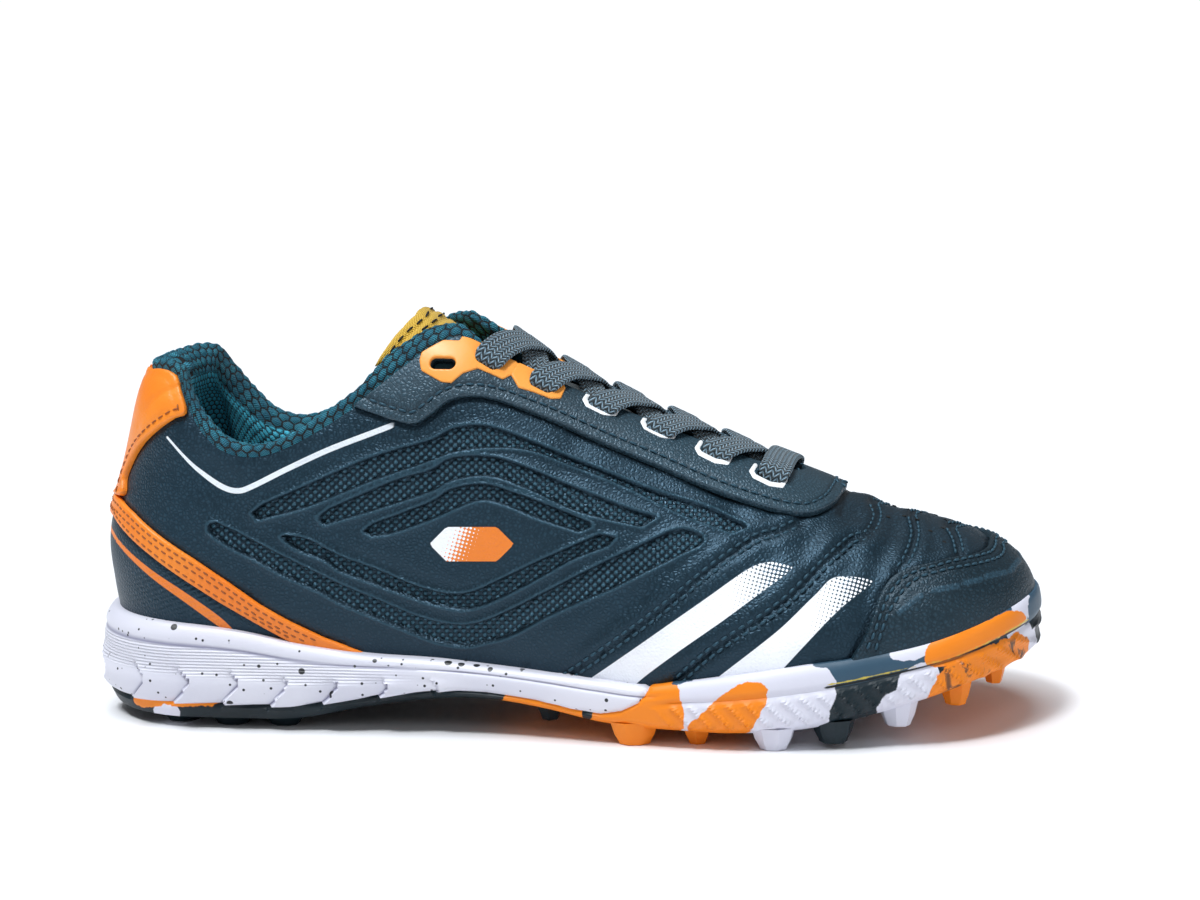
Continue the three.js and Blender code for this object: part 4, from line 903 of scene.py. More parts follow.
# ------------------------------------------------------------------ what is drawn on the side, in pixels
U1 = np.concatenate([smooth([(263, 504), (307, 485), (372, 457), (430, 440), (451, 429), (476, 425), (502, 430), (553, 450), (604, 471), (655, 491), (706, 507), (742, 522)]), [(748, 527)], smooth([(257, 520), (307, 507), (372, 481), (430, 461), (451, 453), (484, 448), (528, 450), (579, 468), (630, 489), (681, 514), (732, 533)])[::-1], [(251, 513)]])
U2 = np.concatenate([smooth([(328, 509), (393, 481), (430, 470), (451, 458), (484, 456), (515, 463), (579, 489), (630, 509), (658, 517)]), smooth([(324, 525), (372, 511), (430, 492), (451, 481), (489, 476), (528, 489), (579, 512), (642, 527)])[::-1], [(317, 518)]])
U3 = np.concatenate([smooth([(372, 524), (430, 502), (451, 489), (484, 484), (515, 493), (553, 507), (589, 522)]), [(593, 526)], smooth([(372, 536), (393, 533), (430, 520), (476, 501), (502, 504), (540, 519), (579, 532)])[::-1], [(363, 531)]])
L1 = np.concatenate([smooth([(283, 535), (307, 539), (340, 556), (376, 569), (411, 584), (438, 592), (456, 594), (474, 591), (501, 579), (536, 562), (572, 546), (599, 534)]), [(616, 537)], smooth([(283, 539), (298, 550), (324, 560), (340, 571), (358, 578), (394, 591), (429, 603), (456, 609), (474, 608), (501, 598), (536, 580), (572, 560), (608, 546)])[::-1], [(281, 537)]])
L2 = np.concatenate([smooth([(216, 522), (242, 535), (285, 557), (340, 584), (376, 599), (411, 614), (438, 622), (462, 625), (484, 621), (510, 610), (545, 592), (585, 571.5), (610, 559), (635, 547.5), (660, 535.5), (672, 530.5), (684, 529), (696, 532)]), [(702, 536), (704, 541), (700, 546)], smooth([(208, 531), (220, 541), (242, 554), (255, 560), (285, 576), (320, 592), (340, 603), (376, 618), (411, 632), (438, 642), (465, 646), (483, 643), (510, 636), (545, 618), (585, 600), (610, 590), (630, 580), (650, 570), (670, 560), (688, 551)])[::-1], [(208, 524)]])
WHITE_LINE = smooth([(167, 437), (183, 455), (198, 470), (220, 486), (237, 491), (253, 486), (285, 470), (328, 450), (372, 433), (393, 425)])
THIN = np.concatenate([smooth([(108, 527), (112, 531), (128, 550), (153, 571), (186, 593), (219, 616), (236, 632)]), smooth([(108, 533), (113, 538), (128, 556), (153, 579), (186, 603), (211, 621), (228, 633)])[::-1]])
STRIPE1 = np.concatenate([smooth([(566, 694), (574, 689), (632, 650), (701, 602), (747, 570), (770, 562), (793, 567)]), smooth([(606, 706), (623, 696), (643, 678), (678, 652), (724, 620), (758, 595), (790, 572)])[::-1]])
STRIPE2 = np.concatenate([smooth([(688, 698), (705, 687), (747, 655), (781, 628), (815, 595), (836, 577), (873, 580)]), smooth([(758, 690), (774, 678), (804, 646), (838, 611), (871, 584)])[::-1]])
SEAM_A = smooth([(800, 522), (778, 532), (753, 540), (710, 570), (669, 604), (632, 632), (586, 664), (558, 682)])
SEAM_B = smooth([(872, 500), (877, 517), (867, 535), (851, 540), (825, 563), (780, 606), (714, 650), (671, 687)])
SEAM_C = smooth([(911, 512), (915, 535), (907, 559), (898, 572)])
SEAM_D = smooth([(948, 524), (956, 538), (960, 556)])
CREASES = [([(300, 470), (340, 455), (384, 436)], 5, 0.35), ([(700, 470), (730, 500), (742, 540)], 7, 0.5), ([(575, 440), (560, 500), (600, 560)], 9, 0.35),
           ([(846, 555), (812, 592), (770, 632)], 8, 0.55), ([(210, 470), (240, 520), (250, 590)], 9, 0.4), ([(640, 600), (600, 630), (560, 662)], 7, 0.4), ([(930, 590), (962, 604), (1002, 604)], 8, 0.3),
           ([(878, 560), (868, 596), (858, 640)], 6, 0.45)]
GUARD_EDGE = np.array([(838, 684), (850, 660), (860, 644), (868, 628), (874, 612), (880, 596), (888, 583), (898, 575), (910, 570), (928, 566), (948, 561), (968, 558), (980, 554), (987, 548), (988, 540), (982, 532), (972, 527), (962, 521)], float)
GUARD_PX = np.concatenate([smooth(GUARD_EDGE, 5), [(1120, 440), (1120, 820), (820, 820)]])
GUARD_ROWS = [[(865, 649), (871, 638), (877, 624), (881, 614), (888, 598), (898, 585), (908, 578), (920, 573), (934, 569.5), (948, 565.5), (964, 562), (980, 558.5), (989, 555), (993, 548), (992, 543)],
              [(874, 650), (880, 634), (887, 616), (898, 599), (906, 589), (918, 580.5), (934, 575.5), (950, 571.5), (968, 568.5), (984, 565), (997, 560), (1001, 553), (999, 548)]]
BADGE = np.array([(427, 544), (446, 525), (498, 525), (517, 544), (498, 563), (446, 563)], float)
LOZENGE = np.array([(352, 545), (395, 523), (440, 511), (478, 503), (515, 511), (560, 527), (590, 540), (560, 554), (515, 573), (474, 589), (440, 581), (395, 566)], float)

# ------------------------------------------------------------------ upper
def hole_frames():
    out = []
    for side in (0, 1):
        for s, off in HOLES:
            y = ridge_y(np.array([s]))[0] + SIGN[side] * off
            P, N = face([s, s + 1], [y, y + ridge_y(np.array([s + 1]))[0] - ridge_y(np.array([s]))[0]])
            along = P[1] - P[0]
            along /= np.linalg.norm(along)
            out_dir = N[0]
            across = np.cross(out_dir, along)
            across /= np.linalg.norm(across)
            out.append((side, s, off, P[0], along, across, out_dir))
    return out


HOLE_FRAMES = hole_frames()


def slot_distance(V, grow=0.0):
    d = np.full(len(V), 30.0)
    for side, s, off, P, along, across, n in HOLE_FRAMES:
        q = V - P
        near = np.linalg.norm(q, axis=1) < 9
        a, b = np.abs(q[near] @ along), np.abs(q[near] @ across)
        d[near] = np.minimum(d[near], np.hypot(np.maximum(a - 1.9, 0), b) - 1.6 - grow)
    return d


def opening_field(V, off, lower=0.0, widen=0.0):
    s, z = V[:, 0], V[:, 2]
    above = np.where(s < 126, z - (line(COLLAR, s) - lower), -50.0)
    return np.maximum(above, straight(THROAT, s) + widen - off)


pix = np.stack([base.A["px"], base.A["py"]], 1)
chev = np.min([area_distance(pix, P) for P in (U1, U2, U3, L1, L2)], 0)
base.A["chev"] = chev
wl_side = np.interp(pix[:, 0], np.maximum.accumulate(WHITE_LINE[:, 0]), WHITE_LINE[:, 1])
base.A["wline"] = path_distance(pix, WHITE_LINE) * np.where(pix[:, 1] > wl_side, 1, -1)
base.A["oline"] = area_distance(pix, THIN)
_line = at(0, *from_pixels([(116, 538.3), (128, 553.2), (122, 546)]).T)[0]
_slope = (_line[0, 2] - _line[1, 2]) / (_line[1, 0] - _line[0, 0])
_run = _line[0, 0] - 4.0
_u = np.clip((_line[0, 0] - base.A["s"]) / _run, 0, 1.2)
_z = _line[0, 2] + _slope * _run * (_u - _u * _u / 2)
_round = (np.abs(base.A["z"] - _z) / np.hypot(1, _slope * (1 - np.minimum(_u, 1))) - 0.75)
base.A["oline"] = np.where(base.A["s"] < _line[0, 0], _round, np.where(base.A["s"] < 12, np.minimum(base.A["oline"], 30.0), base.A["oline"]))
base.A["stripe1"] = area_distance(pix, STRIPE1)
base.A["stripe2"] = area_distance(pix, STRIPE2)
base.A["fade1"] = np.clip((base.A["px"] - 712) / 110, 0, 1) * 0.62
base.A["fade2"] = np.clip((base.A["px"] - 792) / 110, 0, 1) * 0.62
base.A["badge"] = np.where(base.A["side"] < 0.5, area_distance(pix, BADGE), 30.0)
base.A["bfade"] = smoothstep(base.A["px"] + 0.5 * (base.A["py"] - 544), 430, 505)
base.A["open"] = opening_field(base.V, base.A["off"])
base.A["slots"] = slot_distance(base.V)
seam = np.min([path_distance(pix, L) for L in (SEAM_A, SEAM_B, SEAM_C, SEAM_D)], 0)
base.A["seam"] = seam
skin = clip(base, "open")
for level in (0.5, 0.0, -0.5):
    skin = cut(skin, "chev", level)
skin.A["-slots"] = -skin.A["slots"]
skin = clip(skin, "-slots")
pix = np.stack([skin.A["px"], skin.A["py"]], 1)
c = skin.A["chev"]
lip = np.exp(-((c - 0.5) / 0.45) ** 2) * (c < 2.5)
d = -1.15 * smoothstep(-c, -0.02, 0.45) + 0.42 * lip
lozenge = area_distance(pix, smooth(LOZENGE, 6, True), 80)
d += 0.35 * smoothstep(-lozenge, -2, 3)
d -= 0.65 * np.exp(-(skin.A["seam"] / 0.55) ** 2) + 0.25 * np.exp(-((skin.A["seam"] - 1.15) / 0.7) ** 2)
d += 0.42 * np.exp(-((skin.A["seam"] - 3.4) / 2.0) ** 2)
for pts, wide, deep in CREASES:
    p = smooth(pts)
    dist = path_distance(pix, p, 90)
    d += deep * (-np.exp(-(dist / (wide * 0.5)) ** 2) + 0.5 * np.exp(-((dist - wide) / (wide * 0.6)) ** 2))
# soft folds across the vamp where the foot bends
vamp = smoothstep(skin.A["s"], 196, 212) * smoothstep(-skin.A["s"], -246, -236) * smoothstep(skin.V[:, 2], 40, 52)
d += vamp * 0.28 * np.sin(skin.A["s"] * 0.52 + 0.05 * skin.V[:, 1])
in_guard = area_distance(pix, GUARD_PX, 400)
facing_edge = np.min([segment_distance(skin.V, at(side, *from_side(side, smooth(FACING, 5)).T)[0]) for side in (0, 1)], 0)
facing_edge = np.minimum(facing_edge, np.min([segment_distance(skin.V, at(side, *from_plan(side, [(224.6, o) for o in (19, 16, 12, 8, 4, 0.2)]).T)[0]) for side in (0, 1)], 0))
_s, _z = skin.A["s"], skin.A["z"]
band_edge = np.minimum(np.abs(_z - straight(BAND_TOP, _s)), np.abs(_z - straight(BAND_LOW, _s))) * np.where(_s > 12, 0.84, 1.0) + 30.0 * (_s > 82)
tab_edge = np.min([segment_distance(skin.V, at(side, *from_side(side, smooth(TAB[1:], 5)).T)[0]) for side in (0, 1)], 0)
# near: painted shade under the overlays' edges and along the seam rows; it also sinks the surface there.
near = np.maximum(np.exp(-(facing_edge / 0.85) ** 2), np.exp(-(in_guard / 0.85) ** 2))
near = np.maximum(near, 0.9 * np.maximum(np.exp(-(band_edge / 0.75) ** 2), np.exp(-(tab_edge / 0.75) ** 2)))
shade_rows = np.exp(-((skin.A["seam"] - 1.15) / 0.55) ** 2) + np.exp(-(skin.A["seam"] / 0.4) ** 2)
skin.A["near"] = np.clip(np.maximum(near, 0.75 * shade_rows), 0, 1)
d = d * smoothstep(in_guard, -0.6, 0.8) - 0.55 * near
edge = -skin.A["open"]
d = d * smoothstep(edge, 0.5, 3.0) - 0.3 * np.exp(-(edge / 0.8) ** 2)
V, F, A = with_rim(skin, d, -1.9)
make("upper_leather", V, F, M["upper"], ("upper",), pick(A, "chev", "wline", "oline", "stripe1", "stripe2", "fade1", "fade2", "px", "py", "badge", "bfade", "near", "z"), 50)

# lining behind it
ct, cf = np.linspace(0, T_END, 111), np.linspace(0.0, 1, 40)
coarse, _ = form_grid(np.unique(np.concatenate([ct, [T_HEEL, T_TOE]])), cf)
coarse.A["open"] = opening_field(coarse.V, coarse.A["off"], 1.2, 0.6)
lining = clip(coarse, "open")
V, F, A = with_rim(lining, np.full(len(lining.V), -2.0), -1.7)
make("upper_lining", V, F[:, ::-1], M["lining"], (), None, 50)


# ------------------------------------------------------------------ overlays
def patch(t0, t1, f0, f1, step):
    arc = 95.0
    t = np.arange(t0, t1 + step * 0.5, step)
    t[-1] = t1
    for edge_t in (T_HEEL, T_TOE):
        if t0 < edge_t < t1:
            t[np.argmin(np.abs(t - edge_t))] = edge_t
    f = np.linspace(f0, f1, max(int((f1 - f0) * arc / step), 8))
    sk, _ = form_grid(t, f)
    N = np.empty_like(sk.V)
    for side in (0, 1):
        w = sk.A["side"] == side
        _, N[w] = at(side, sk.A["t"][w], sk.A["f"][w])
    sk.N = N
    return sk


def rounded(sd, thick, radius=0.7, foot=0.55):
    x = np.clip(-sd / radius, 0, 1)
    return thick * (foot + (1 - foot) * np.sqrt(np.maximum(1 - (1 - x) ** 2, 0)))


def both(loc, pts):
    """Places on both sides, as world points: outer then inner."""
    return [at(side, *(loc(side, pts)).T)[0] for side in (0, 1)]


def region_distance(sk, paths, within):
    d = np.min([segment_distance(sk.V, p) for p in paths], 0)
    return np.where(within, -d, d)


# lace facing
fac = patch(T_HEEL + 48, T_HEEL + 194, 0.50, 1.0, 0.55)
s, z, off = fac.A["s"], fac.A["z"], fac.A["off"]
fline = smooth(FACING, 5)
poly = np.concatenate([fline, [(225.6, 150), (119, 150)], COLLAR[(COLLAR[:, 0] > 84) & (COLLAR[:, 0] < 120)][::-1]])
within = inside(np.stack([s, z], 1), poly) & (s < 226)
low = both(from_side, fline)
# the round front runs up to the throat's end
front = [np.concatenate([low[k][-6:], at(k, *from_plan(k, [(224.6, o) for o in (16, 12, 8, 4, 0.2)]).T)[0]]) for k in (0, 1)]
d_low = region_distance(fac, low + front, within)
throat = opening_field(fac.V, off, 0.2, 0.0)
fac.A["slots"] = slot_distance(fac.V)
fac.A["reg"] = np.maximum(np.maximum(d_low, throat), -fac.A["slots"])
fac.A["low"] = d_low
fac = clip(fac, "reg")
for level in (-0.35, -0.9):
    fac = cut(fac, "reg", level)
low_d = -fac.A["low"]
# rows: where painted shade darkens the stitch-row groove.
fac.A["rows"] = np.exp(-((low_d - 3.4) / 0.6) ** 2)
h = GAP + rounded(fac.A["reg"], FACING_T + 0.2) - 0.32 * np.exp(-((low_d - 3.4) / 0.8) ** 2) - 0.12 * np.exp(-((low_d - 1.4) / 1.0) ** 2)
V, F, A = with_rim(fac, h, -0.2)
make("lace_facing_leather", V, F, M["facing"], ("lace_facing",), pick(A, "rows"), 50)

# toe guard
gd = patch(T_HEEL + 190, T_END, 0.0, 0.97, 0.8)
gd.A["reg"] = area_distance(np.stack([gd.A["px"], gd.A["py"]], 1), GUARD_PX, 400)
gd = clip(gd, "reg")
for level in (-0.35, -0.9):
    gd = cut(gd, "reg", level)
r = gd.A["reg"]
pix = np.stack([gd.A["px"], gd.A["py"]], 1)
h = GAP + 0.35 + rounded(r, GUARD_T)
for row in GUARD_ROWS:
    h -= 0.35 * np.exp(-(path_distance(pix, smooth(row)) / 0.75) ** 2)
dash = np.zeros(len(h))
for pts in ([(899, 613), (920, 598)], [(932, 593), (955, 589)], [(962, 586), (977, 583)], [(983, 580), (1001, 576)], [(1006, 574), (1014, 564)]):
    dash = np.maximum(dash, np.exp(-(path_distance(pix, np.array(pts, float)) / 0.9) ** 2))
h += 0.25 * dash
gd.A["dash"] = dash
# rows: where painted shade darkens the guard's stitch-row grooves.
gd.A["rows"] = np.max([np.exp(-(path_distance(pix, smooth(row)) / 0.6) ** 2) for row in GUARD_ROWS], 0)
V, F, A = with_rim(gd, h, -0.3)
make("toe_guard_leather", V, F, M["guard"], ("toe_guard",), pick(A, "dash", "rows"), 50)

# heel tab
tb = patch(0, T_HEEL + 6, 0.40, 0.97, 0.7)
s, z = tb.A["s"], tb.A["z"]
tline = smooth(TAB, 5)
within = inside(np.stack([s, z], 1), np.concatenate([tline, [(-8, 150), (30.6, 150)]])) & (z < line(COLLAR, s) - 0.2)
paths = both(from_side, tline[(tline[:, 0] > 1.5)])
topl = np.array([(x, line(COLLAR, np.array([x]))[0] - 0.2) for x in np.linspace(12, 34, 24)])
paths += both(from_side, topl)
tb.A["reg"] = np.maximum(region_distance(tb, paths, within), -99)
tb.A["reg"] = np.where((z > 66.3) & (z < line(COLLAR, s) - 0.2) & (s < 12), -np.minimum(z - 66.3, line(COLLAR, s) - 0.2 - z), tb.A["reg"])
tb = clip(tb, "reg")
for level in (-0.35, -0.9):
    tb = cut(tb, "reg", level)
pix = np.stack([tb.A["px"], tb.A["py"]], 1)
h = GAP + rounded(tb.A["reg"], TAB_T, 0.6, 0.5) - 0.5 * np.exp(-(path_distance(pix, smooth([(180, 388), (165, 395), (153, 406), (144, 422), (141, 432), (134, 450), (126, 470), (120, 488)])) / 0.9) ** 2) - 0.2 * np.exp(-((tb.A["reg"] + 2.4) / 0.7) ** 2)
V, F, A = with_rim(tb, h, -0.2)
make("heel_tab_cover", V, F, M["orange"], ("heel_tab",), None, 50)

# heel band
bd = patch(0, T_HEEL + 56, 0.0, 0.62, 0.7)
s, z = bd.A["s"], bd.A["z"]
top, lowb = straight(BAND_TOP, s), straight(BAND_LOW, s)
slope = np.cos(np.arctan(np.gradient(straight(BAND_TOP, np.linspace(-8, 88, 97)), 1.0)))
k = np.interp(s, np.linspace(-8, 88, 97), slope)
bd.A["reg"] = np.maximum(z - top, lowb - z) * k
bd = clip(bd, "reg")
for level in (-0.35, -0.8):
    bd = cut(bd, "reg", level)
V, F, A = with_rim(bd, GAP + rounded(bd.A["reg"], BAND_T, 0.8), -0.2)
make("heel_band_trim", V, F, M["orange"], ("heel_band",), None, 50)


# ------------------------------------------------------------------ eyelet frames on the facing
def px8(pts):
    return np.array([(x / 8.25 + 370, y / 8.25 + 300) for x, y in pts])


frame_a = px8([(445, 450), (600, 365), (735, 375), (775, 310), (855, 310), (940, 350), (965, 420), (1080, 470), (1150, 480), (1195, 570), (1160, 650), (1085, 685), (960, 625), (880, 590), (770, 625), (680, 700), (600, 690), (440, 600), (425, 520)])
frame_b = px8([(1195, 570), (1290, 565), (1370, 590), (1430, 670), (1560, 710), (1592, 775), (1560, 850), (1480, 850), (1330, 790), (1215, 755), (1150, 650)])
ef = patch(T_HEEL + 62, T_HEEL + 113, 0.62, 1.0, 0.38)
pix = np.stack([ef.A["px"], ef.A["py"]], 1)
d = np.minimum(area_distance(pix, frame_a), area_distance(pix, frame_b))
ef.A["reg"] = np.maximum(np.maximum(d, -slot_distance(ef.V, 0.1)), opening_field(ef.V, ef.A["off"], 0.4, 0.4))
ef = clip(ef, "reg")
for level in (-0.3, -0.7):
    ef = cut(ef, "reg", level)
V, F, A = with_rim(ef, GAP + FACING_T + 0.1 + rounded(ef.A["reg"], 0.6, 0.4, 0.5), GAP + FACING_T - 0.6)
make("eyelet_frames", V, F, M["eyelet"], (), None, 50)

wf = patch(T_HEEL + 98, T_HEEL + 178, 0.62, 1.0, 0.38)
pix = np.stack([wf.A["px"], wf.A["py"]], 1)
WHITE_MARKS = []
for cx, cy in [(600, 408), (658, 431), (712.5, 457), (767, 480)]:
    # a frame open to the throat: short arm, long lower run, short arm
    WHITE_MARKS.append(np.array([(-14, -8.5), (-17.5, -3.5), (-14.5, 1.5), (1, 9.2), (13, 11), (16, 5.5)]) + (cx, cy))
wf.A["reg"] = np.maximum(np.min([path_distance(pix, L) for L in WHITE_MARKS], 0) - 0.66, opening_field(wf.V, wf.A["off"], 0.4, 0.6))
wf = clip(wf, "reg")
V, F, A = with_rim(wf, GAP + FACING_T + 0.12 + rounded(wf.A["reg"], 0.22, 0.5, 0.5), GAP + FACING_T - 0.4)
make("eyelet_marks", V, F, M["eyelet_white"], (), None, 50)


# ------------------------------------------------------------------ stitches
def capsule():
    xs_ = np.array([-1.0, -0.82, -0.3, 0.3, 0.82, 1.0])
    rad = np.array([0.25, 0.8, 1.0, 1.0, 0.8, 0.25])
    rise = np.array([-0.9, -0.25, 0.1, 0.1, -0.25, -0.9])
    V, F = [], []
    for x, r, z in zip(xs_, rad, rise):
        for k in range(6):
            a = k * math.pi / 3
            V.append((x, r * math.cos(a), r * math.sin(a) + z))
    for i in range(5):
        for k in range(6):
            a, b = i * 6 + k, i * 6 + (k + 1) % 6
            F += [(a, b, b + 6), (a, b + 6, a + 6)]
    for k in range(1, 5):
        F += [(0, k + 1, k), (30, 30 + k, 31 + k)]
    return np.array(V), np.array(F)[:, ::-1]


CAP_V, CAP_F = capsule()


def along(P, N, step):
    L = np.concatenate([[0], np.cumsum(np.linalg.norm(np.diff(P, axis=0), axis=1))])
    n = max(int(L[-1] / step), 1)
    x = (np.arange(n) + 0.5) * L[-1] / n
    Q = np.stack([np.interp(x, L, P[:, k]) for k in range(3)], 1)
    M_ = np.stack([np.interp(x, L, N[:, k]) for k in range(3)], 1)
    a = np.stack([np.interp(np.minimum(x + 0.6, L[-1]), L, P[:, k]) for k in range(3)], 1)
    b = np.stack([np.interp(np.maximum(x - 0.6, 0), L, P[:, k]) for k in range(3)], 1)
    D = a - b
    return Q, M_ / np.linalg.norm(M_, axis=1, keepdims=True), D / np.maximum(np.linalg.norm(D, axis=1, keepdims=True), 1e-9)


def stitch_row(P, N, length=2.3, pitch=3.4, radius=0.3):
    Q, n, d = along(P, N, pitch)
    side = np.cross(n, d)
    side /= np.maximum(np.linalg.norm(side, axis=1, keepdims=True), 1e-9)
    n = np.cross(d, side)
    V = Q[:, None] + CAP_V[None, :, 0:1] * (length / 2) * d[:, None] + CAP_V[None, :, 1:2] * radius * side[:, None] + CAP_V[None, :, 2:3] * radius * n[:, None]
    F = CAP_F[None] + (np.arange(len(Q)) * len(CAP_V))[:, None, None]
    return V.reshape(-1, 3), F.reshape(-1, 3)


def join(parts):
    V, F, n = [], [], 0
    for v, f in parts:
        V.append(v)
        F.append(f + n)
        n += len(v)
    return np.concatenate(V), np.concatenate(F)


def offset_pixels(L, mm):
    L = np.asarray(L, float)
    d = np.gradient(L, axis=0)
    n = np.stack([-d[:, 1], d[:, 0]], 1)
    return L + n / np.linalg.norm(n, axis=1, keepdims=True) * mm / PX


def row_from_pixels(L, lift):
    tf = from_pixels(L)
    out = []
    for side in (0, 1) if len(tf) else ():
        P, N = at(side, tf[:, 0], tf[:, 1])
        out.append((P + N * lift, N))
    return out


dark, orange_rows, black = [], [], []
for L in (SEAM_A, SEAM_B, SEAM_C, SEAM_D):
    for o in (-1.15, 1.15):
        for P, N in row_from_pixels(offset_pixels(L, o)[1:-1], 0.16):
            dark.append(stitch_row(P, N, 2.2, 2.85, 0.42))
# facing: one row inside its lower edge
for side in (0, 1):
    tf = from_side(side, fline)
    P, N = at(side, tf[:, 0], tf[:, 1])
    tangent = np.gradient(P, axis=0)
    inn = np.cross(N, tangent)
    inn /= np.linalg.norm(inn, axis=1, keepdims=True)
    if inn[len(inn) // 2, 2] < 0:
        inn = -inn
    Q = P + inn * 3.4
    # back onto the face
    keepers = (fline[:, 0] > 90)
    dark.append(stitch_row((Q + N * (GAP + FACING_T + 0.12))[keepers], N[keepers], 2.5, 3.1, 0.36))
for L in GUARD_ROWS:
    for P, N in row_from_pixels(smooth(L, 4), GAP + 0.35 + GUARD_T - 0.05):
        dark.append(stitch_row(P, N, 2.2, 2.85, 0.42))
for P, N in row_from_pixels([(785, 467), (792, 473), (800, 478)], GAP + FACING_T + 0.2):
    dark.append(stitch_row(P, N, 1.6, 2.0, 0.3))
V, F = join(dark)
make("stitches", V, F, M["stitch"], (), None, 60)

for off_t, off_l in ((-1.6, None), (None, 1.6), (-3.6, None)):
    for side in (0, 1):
        ss = np.linspace(6, 74, 60)
        zz = straight(BAND_TOP, ss) + off_t if off_t else straight(BAND_LOW, ss) + off_l
        good = zz > straight(SOLE[:, [0, 2]], ss) + 1.0
        tf = from_side(side, np.stack([ss, zz], 1)[good])
        P, N = at(side, tf[:, 0], tf[:, 1])
        orange_rows.append(stitch_row(P + N * (GAP + BAND_T + 0.05), N, 1.9, 2.6, 0.26))
for side in (0, 1):
    tt = smooth(TAB[1:9], 5)
    tf = from_side(side, tt)
    P, N = at(side, tf[:, 0], tf[:, 1])
    tangent = np.gradient(P, axis=0)
    inn = np.cross(N, tangent)
    inn /= np.linalg.norm(inn, axis=1, keepdims=True)
    c = at(side, [8.0], [0.85])[0][0]
    inn *= np.sign(((c - P) * inn).sum(1, keepdims=True))
    orange_rows.append(stitch_row((P + inn * 2.2 + N * (GAP + TAB_T + 0.05))[3:], N[3:], 1.9, 2.8, 0.24))
V, F = join(orange_rows)
make("stitches_orange", V, F, M["stitch_orange"], (), None, 60)

# perforations across the vamp: shallow dark cups whose near-black colour is painted shade standing in for the open
# holes
disc = []
for x, y in [(888, 518), (904, 517), (930, 532), (942, 529), (944, 543), (939, 522), (903, 509), (917, 520)]:
    for P, N in row_from_pixels([(x, y)], 0.45):
        a = np.cross(N[0], [0, 0, 1.0])
        a /= np.linalg.norm(a)
        b = np.cross(N[0], a)
        ring = [P[0] + 0.62 * (a * math.cos(k) + b * math.sin(k)) for k in np.linspace(0, 2 * math.pi, 13)[:-1]]
        V = np.array(ring + [p - N[0] * 1.2 for p in ring] + [P[0], P[0] - N[0] * 1.2])
        F = []
        for k in range(12):
            j = (k + 1) % 12
            F += [(k, j, 24), (12 + j, 12 + k, 25), (k, 12 + k, 12 + j), (k, 12 + j, j)]
        disc.append((V, np.array(F)))
V, F = join(disc)
make("perforations", V, F, M["hole"], (), None, 40)


# ------------------------------------------------------------------ collar
def profile(R, D):
    p = np.array([(-1.0, -3.0), (-0.1, -0.3), (0.9, 0.42 * R), (0.6, 0.88 * R), (-1.4, R + 0.7), (-0.45 * D, R + 0.9), (-0.82 * D, 0.62 * R), (-D - 0.5, -0.3 * R - 1.6), (-D - 0.4, -8), (-D + 0.4, -15), (-0.72 * D - 0.4, -21), (-0.42 * D - 1.2, -25.5), (-2.2, -28.5)])
    q = smooth(p, 8)
    L = np.concatenate([[0], np.cumsum(np.linalg.norm(np.diff(q, axis=0), axis=1))])
    x = np.linspace(0, L[-1], 60)
    return np.stack([np.interp(x, L, q[:, 0]), np.interp(x, L, q[:, 1])], 1), x


zs, us, ws = [], [], []
t_front = T_HEEL + 124 - 34
order = [(0, t) for t in np.arange(t_front, 0.4, -0.95)] + [(1, t) for t in np.arange(0.0, t_front + 0.5, 0.95)]
edge_pts, frames = [], []
for side, t in order:
    f = np.linspace(0.3, 1, 240)
    P, N = at(side, np.full(240, t), f)
    g = P[:, 2] - line(COLLAR, P[:, 0])
    off = np.abs(P[:, 1] - ridge_y(P[:, 0]))
    g = np.maximum(g, np.where(P[:, 0] > 98, 17.5 - off, -9))
    i = int(np.argmax(g > 0))
    u0 = g[i - 1] / (g[i - 1] - g[i])
    p = P[i - 1] + (P[i] - P[i - 1]) * u0
    n_ = N[i - 1] + (N[i] - N[i - 1]) * u0
    n_ /= np.linalg.norm(n_)
    b = P[i] - P[i - 1]
    b = b - n_ * (b @ n_)
    b /= np.linalg.norm(b)
    edge_pts.append(p)
    frames.append((side, t, f[i - 1] + (f[i] - f[i - 1]) * u0, float(surface(side, np.array([t]), np.array([[0.5]]))[2][0])))
edge_pts = np.array(edge_pts)
ulen = np.concatenate([[0], np.cumsum(np.linalg.norm(np.diff(edge_pts, axis=0), axis=1))])
G = []
for i, (p, (side, t, f_edge, arc)) in enumerate(zip(edge_pts, frames)):
    s = p[0]
    R = float(straight(ROLL, s)) + 0.7 + float(np.interp(s, [88, 96, 107, 116, 121, 126], [0, 4.0, 4.0, 2.6, 1.8, 1.2]))
    D = float(np.interp(s, [30, 60, 78, 92, 110], [10.2, 9.2, 6.6, 5, 4.6]))
    end = min(ulen[i], ulen[-1] - ulen[i])
    k = 0.45 + 0.55 * float(smoothstep(np.array(end), 0, 7))
    q, x = profile(R * k, D * (0.6 + 0.4 * k))
    on, n_ = at(side, np.full(60, t), f_edge + q[:, 1] / arc)
    G.append(on + n_ * q[:, 0:1])
    us.append(np.full(60, ulen[i]))
    ws.append(x)
    zs.append(smoothstep(-q[:, 0], 0.7 * D, 0.9 * D) * smoothstep(-q[:, 1], -0.3 * R, 0.8) + (np.arange(60) > 44))
G = np.array(G)
us, ws, zs = np.array(us), np.array(ws), np.clip(np.array(zs), 0, 1)
nrm = grid_normals(G, False)
mid_c = np.array([60.0, 0, 90.0])
sgn = np.sign(((G[10, 4] - G[10, 20]) @ nrm[10, 4]))
nrm *= sgn
cell = hexcell(us, ws, 3.5) * (zs < 0.5) + hexcell(us, ws, 2.3) * (zs >= 0.5)
relief = 0.55 * (1 - zs) + 0.14 * zs
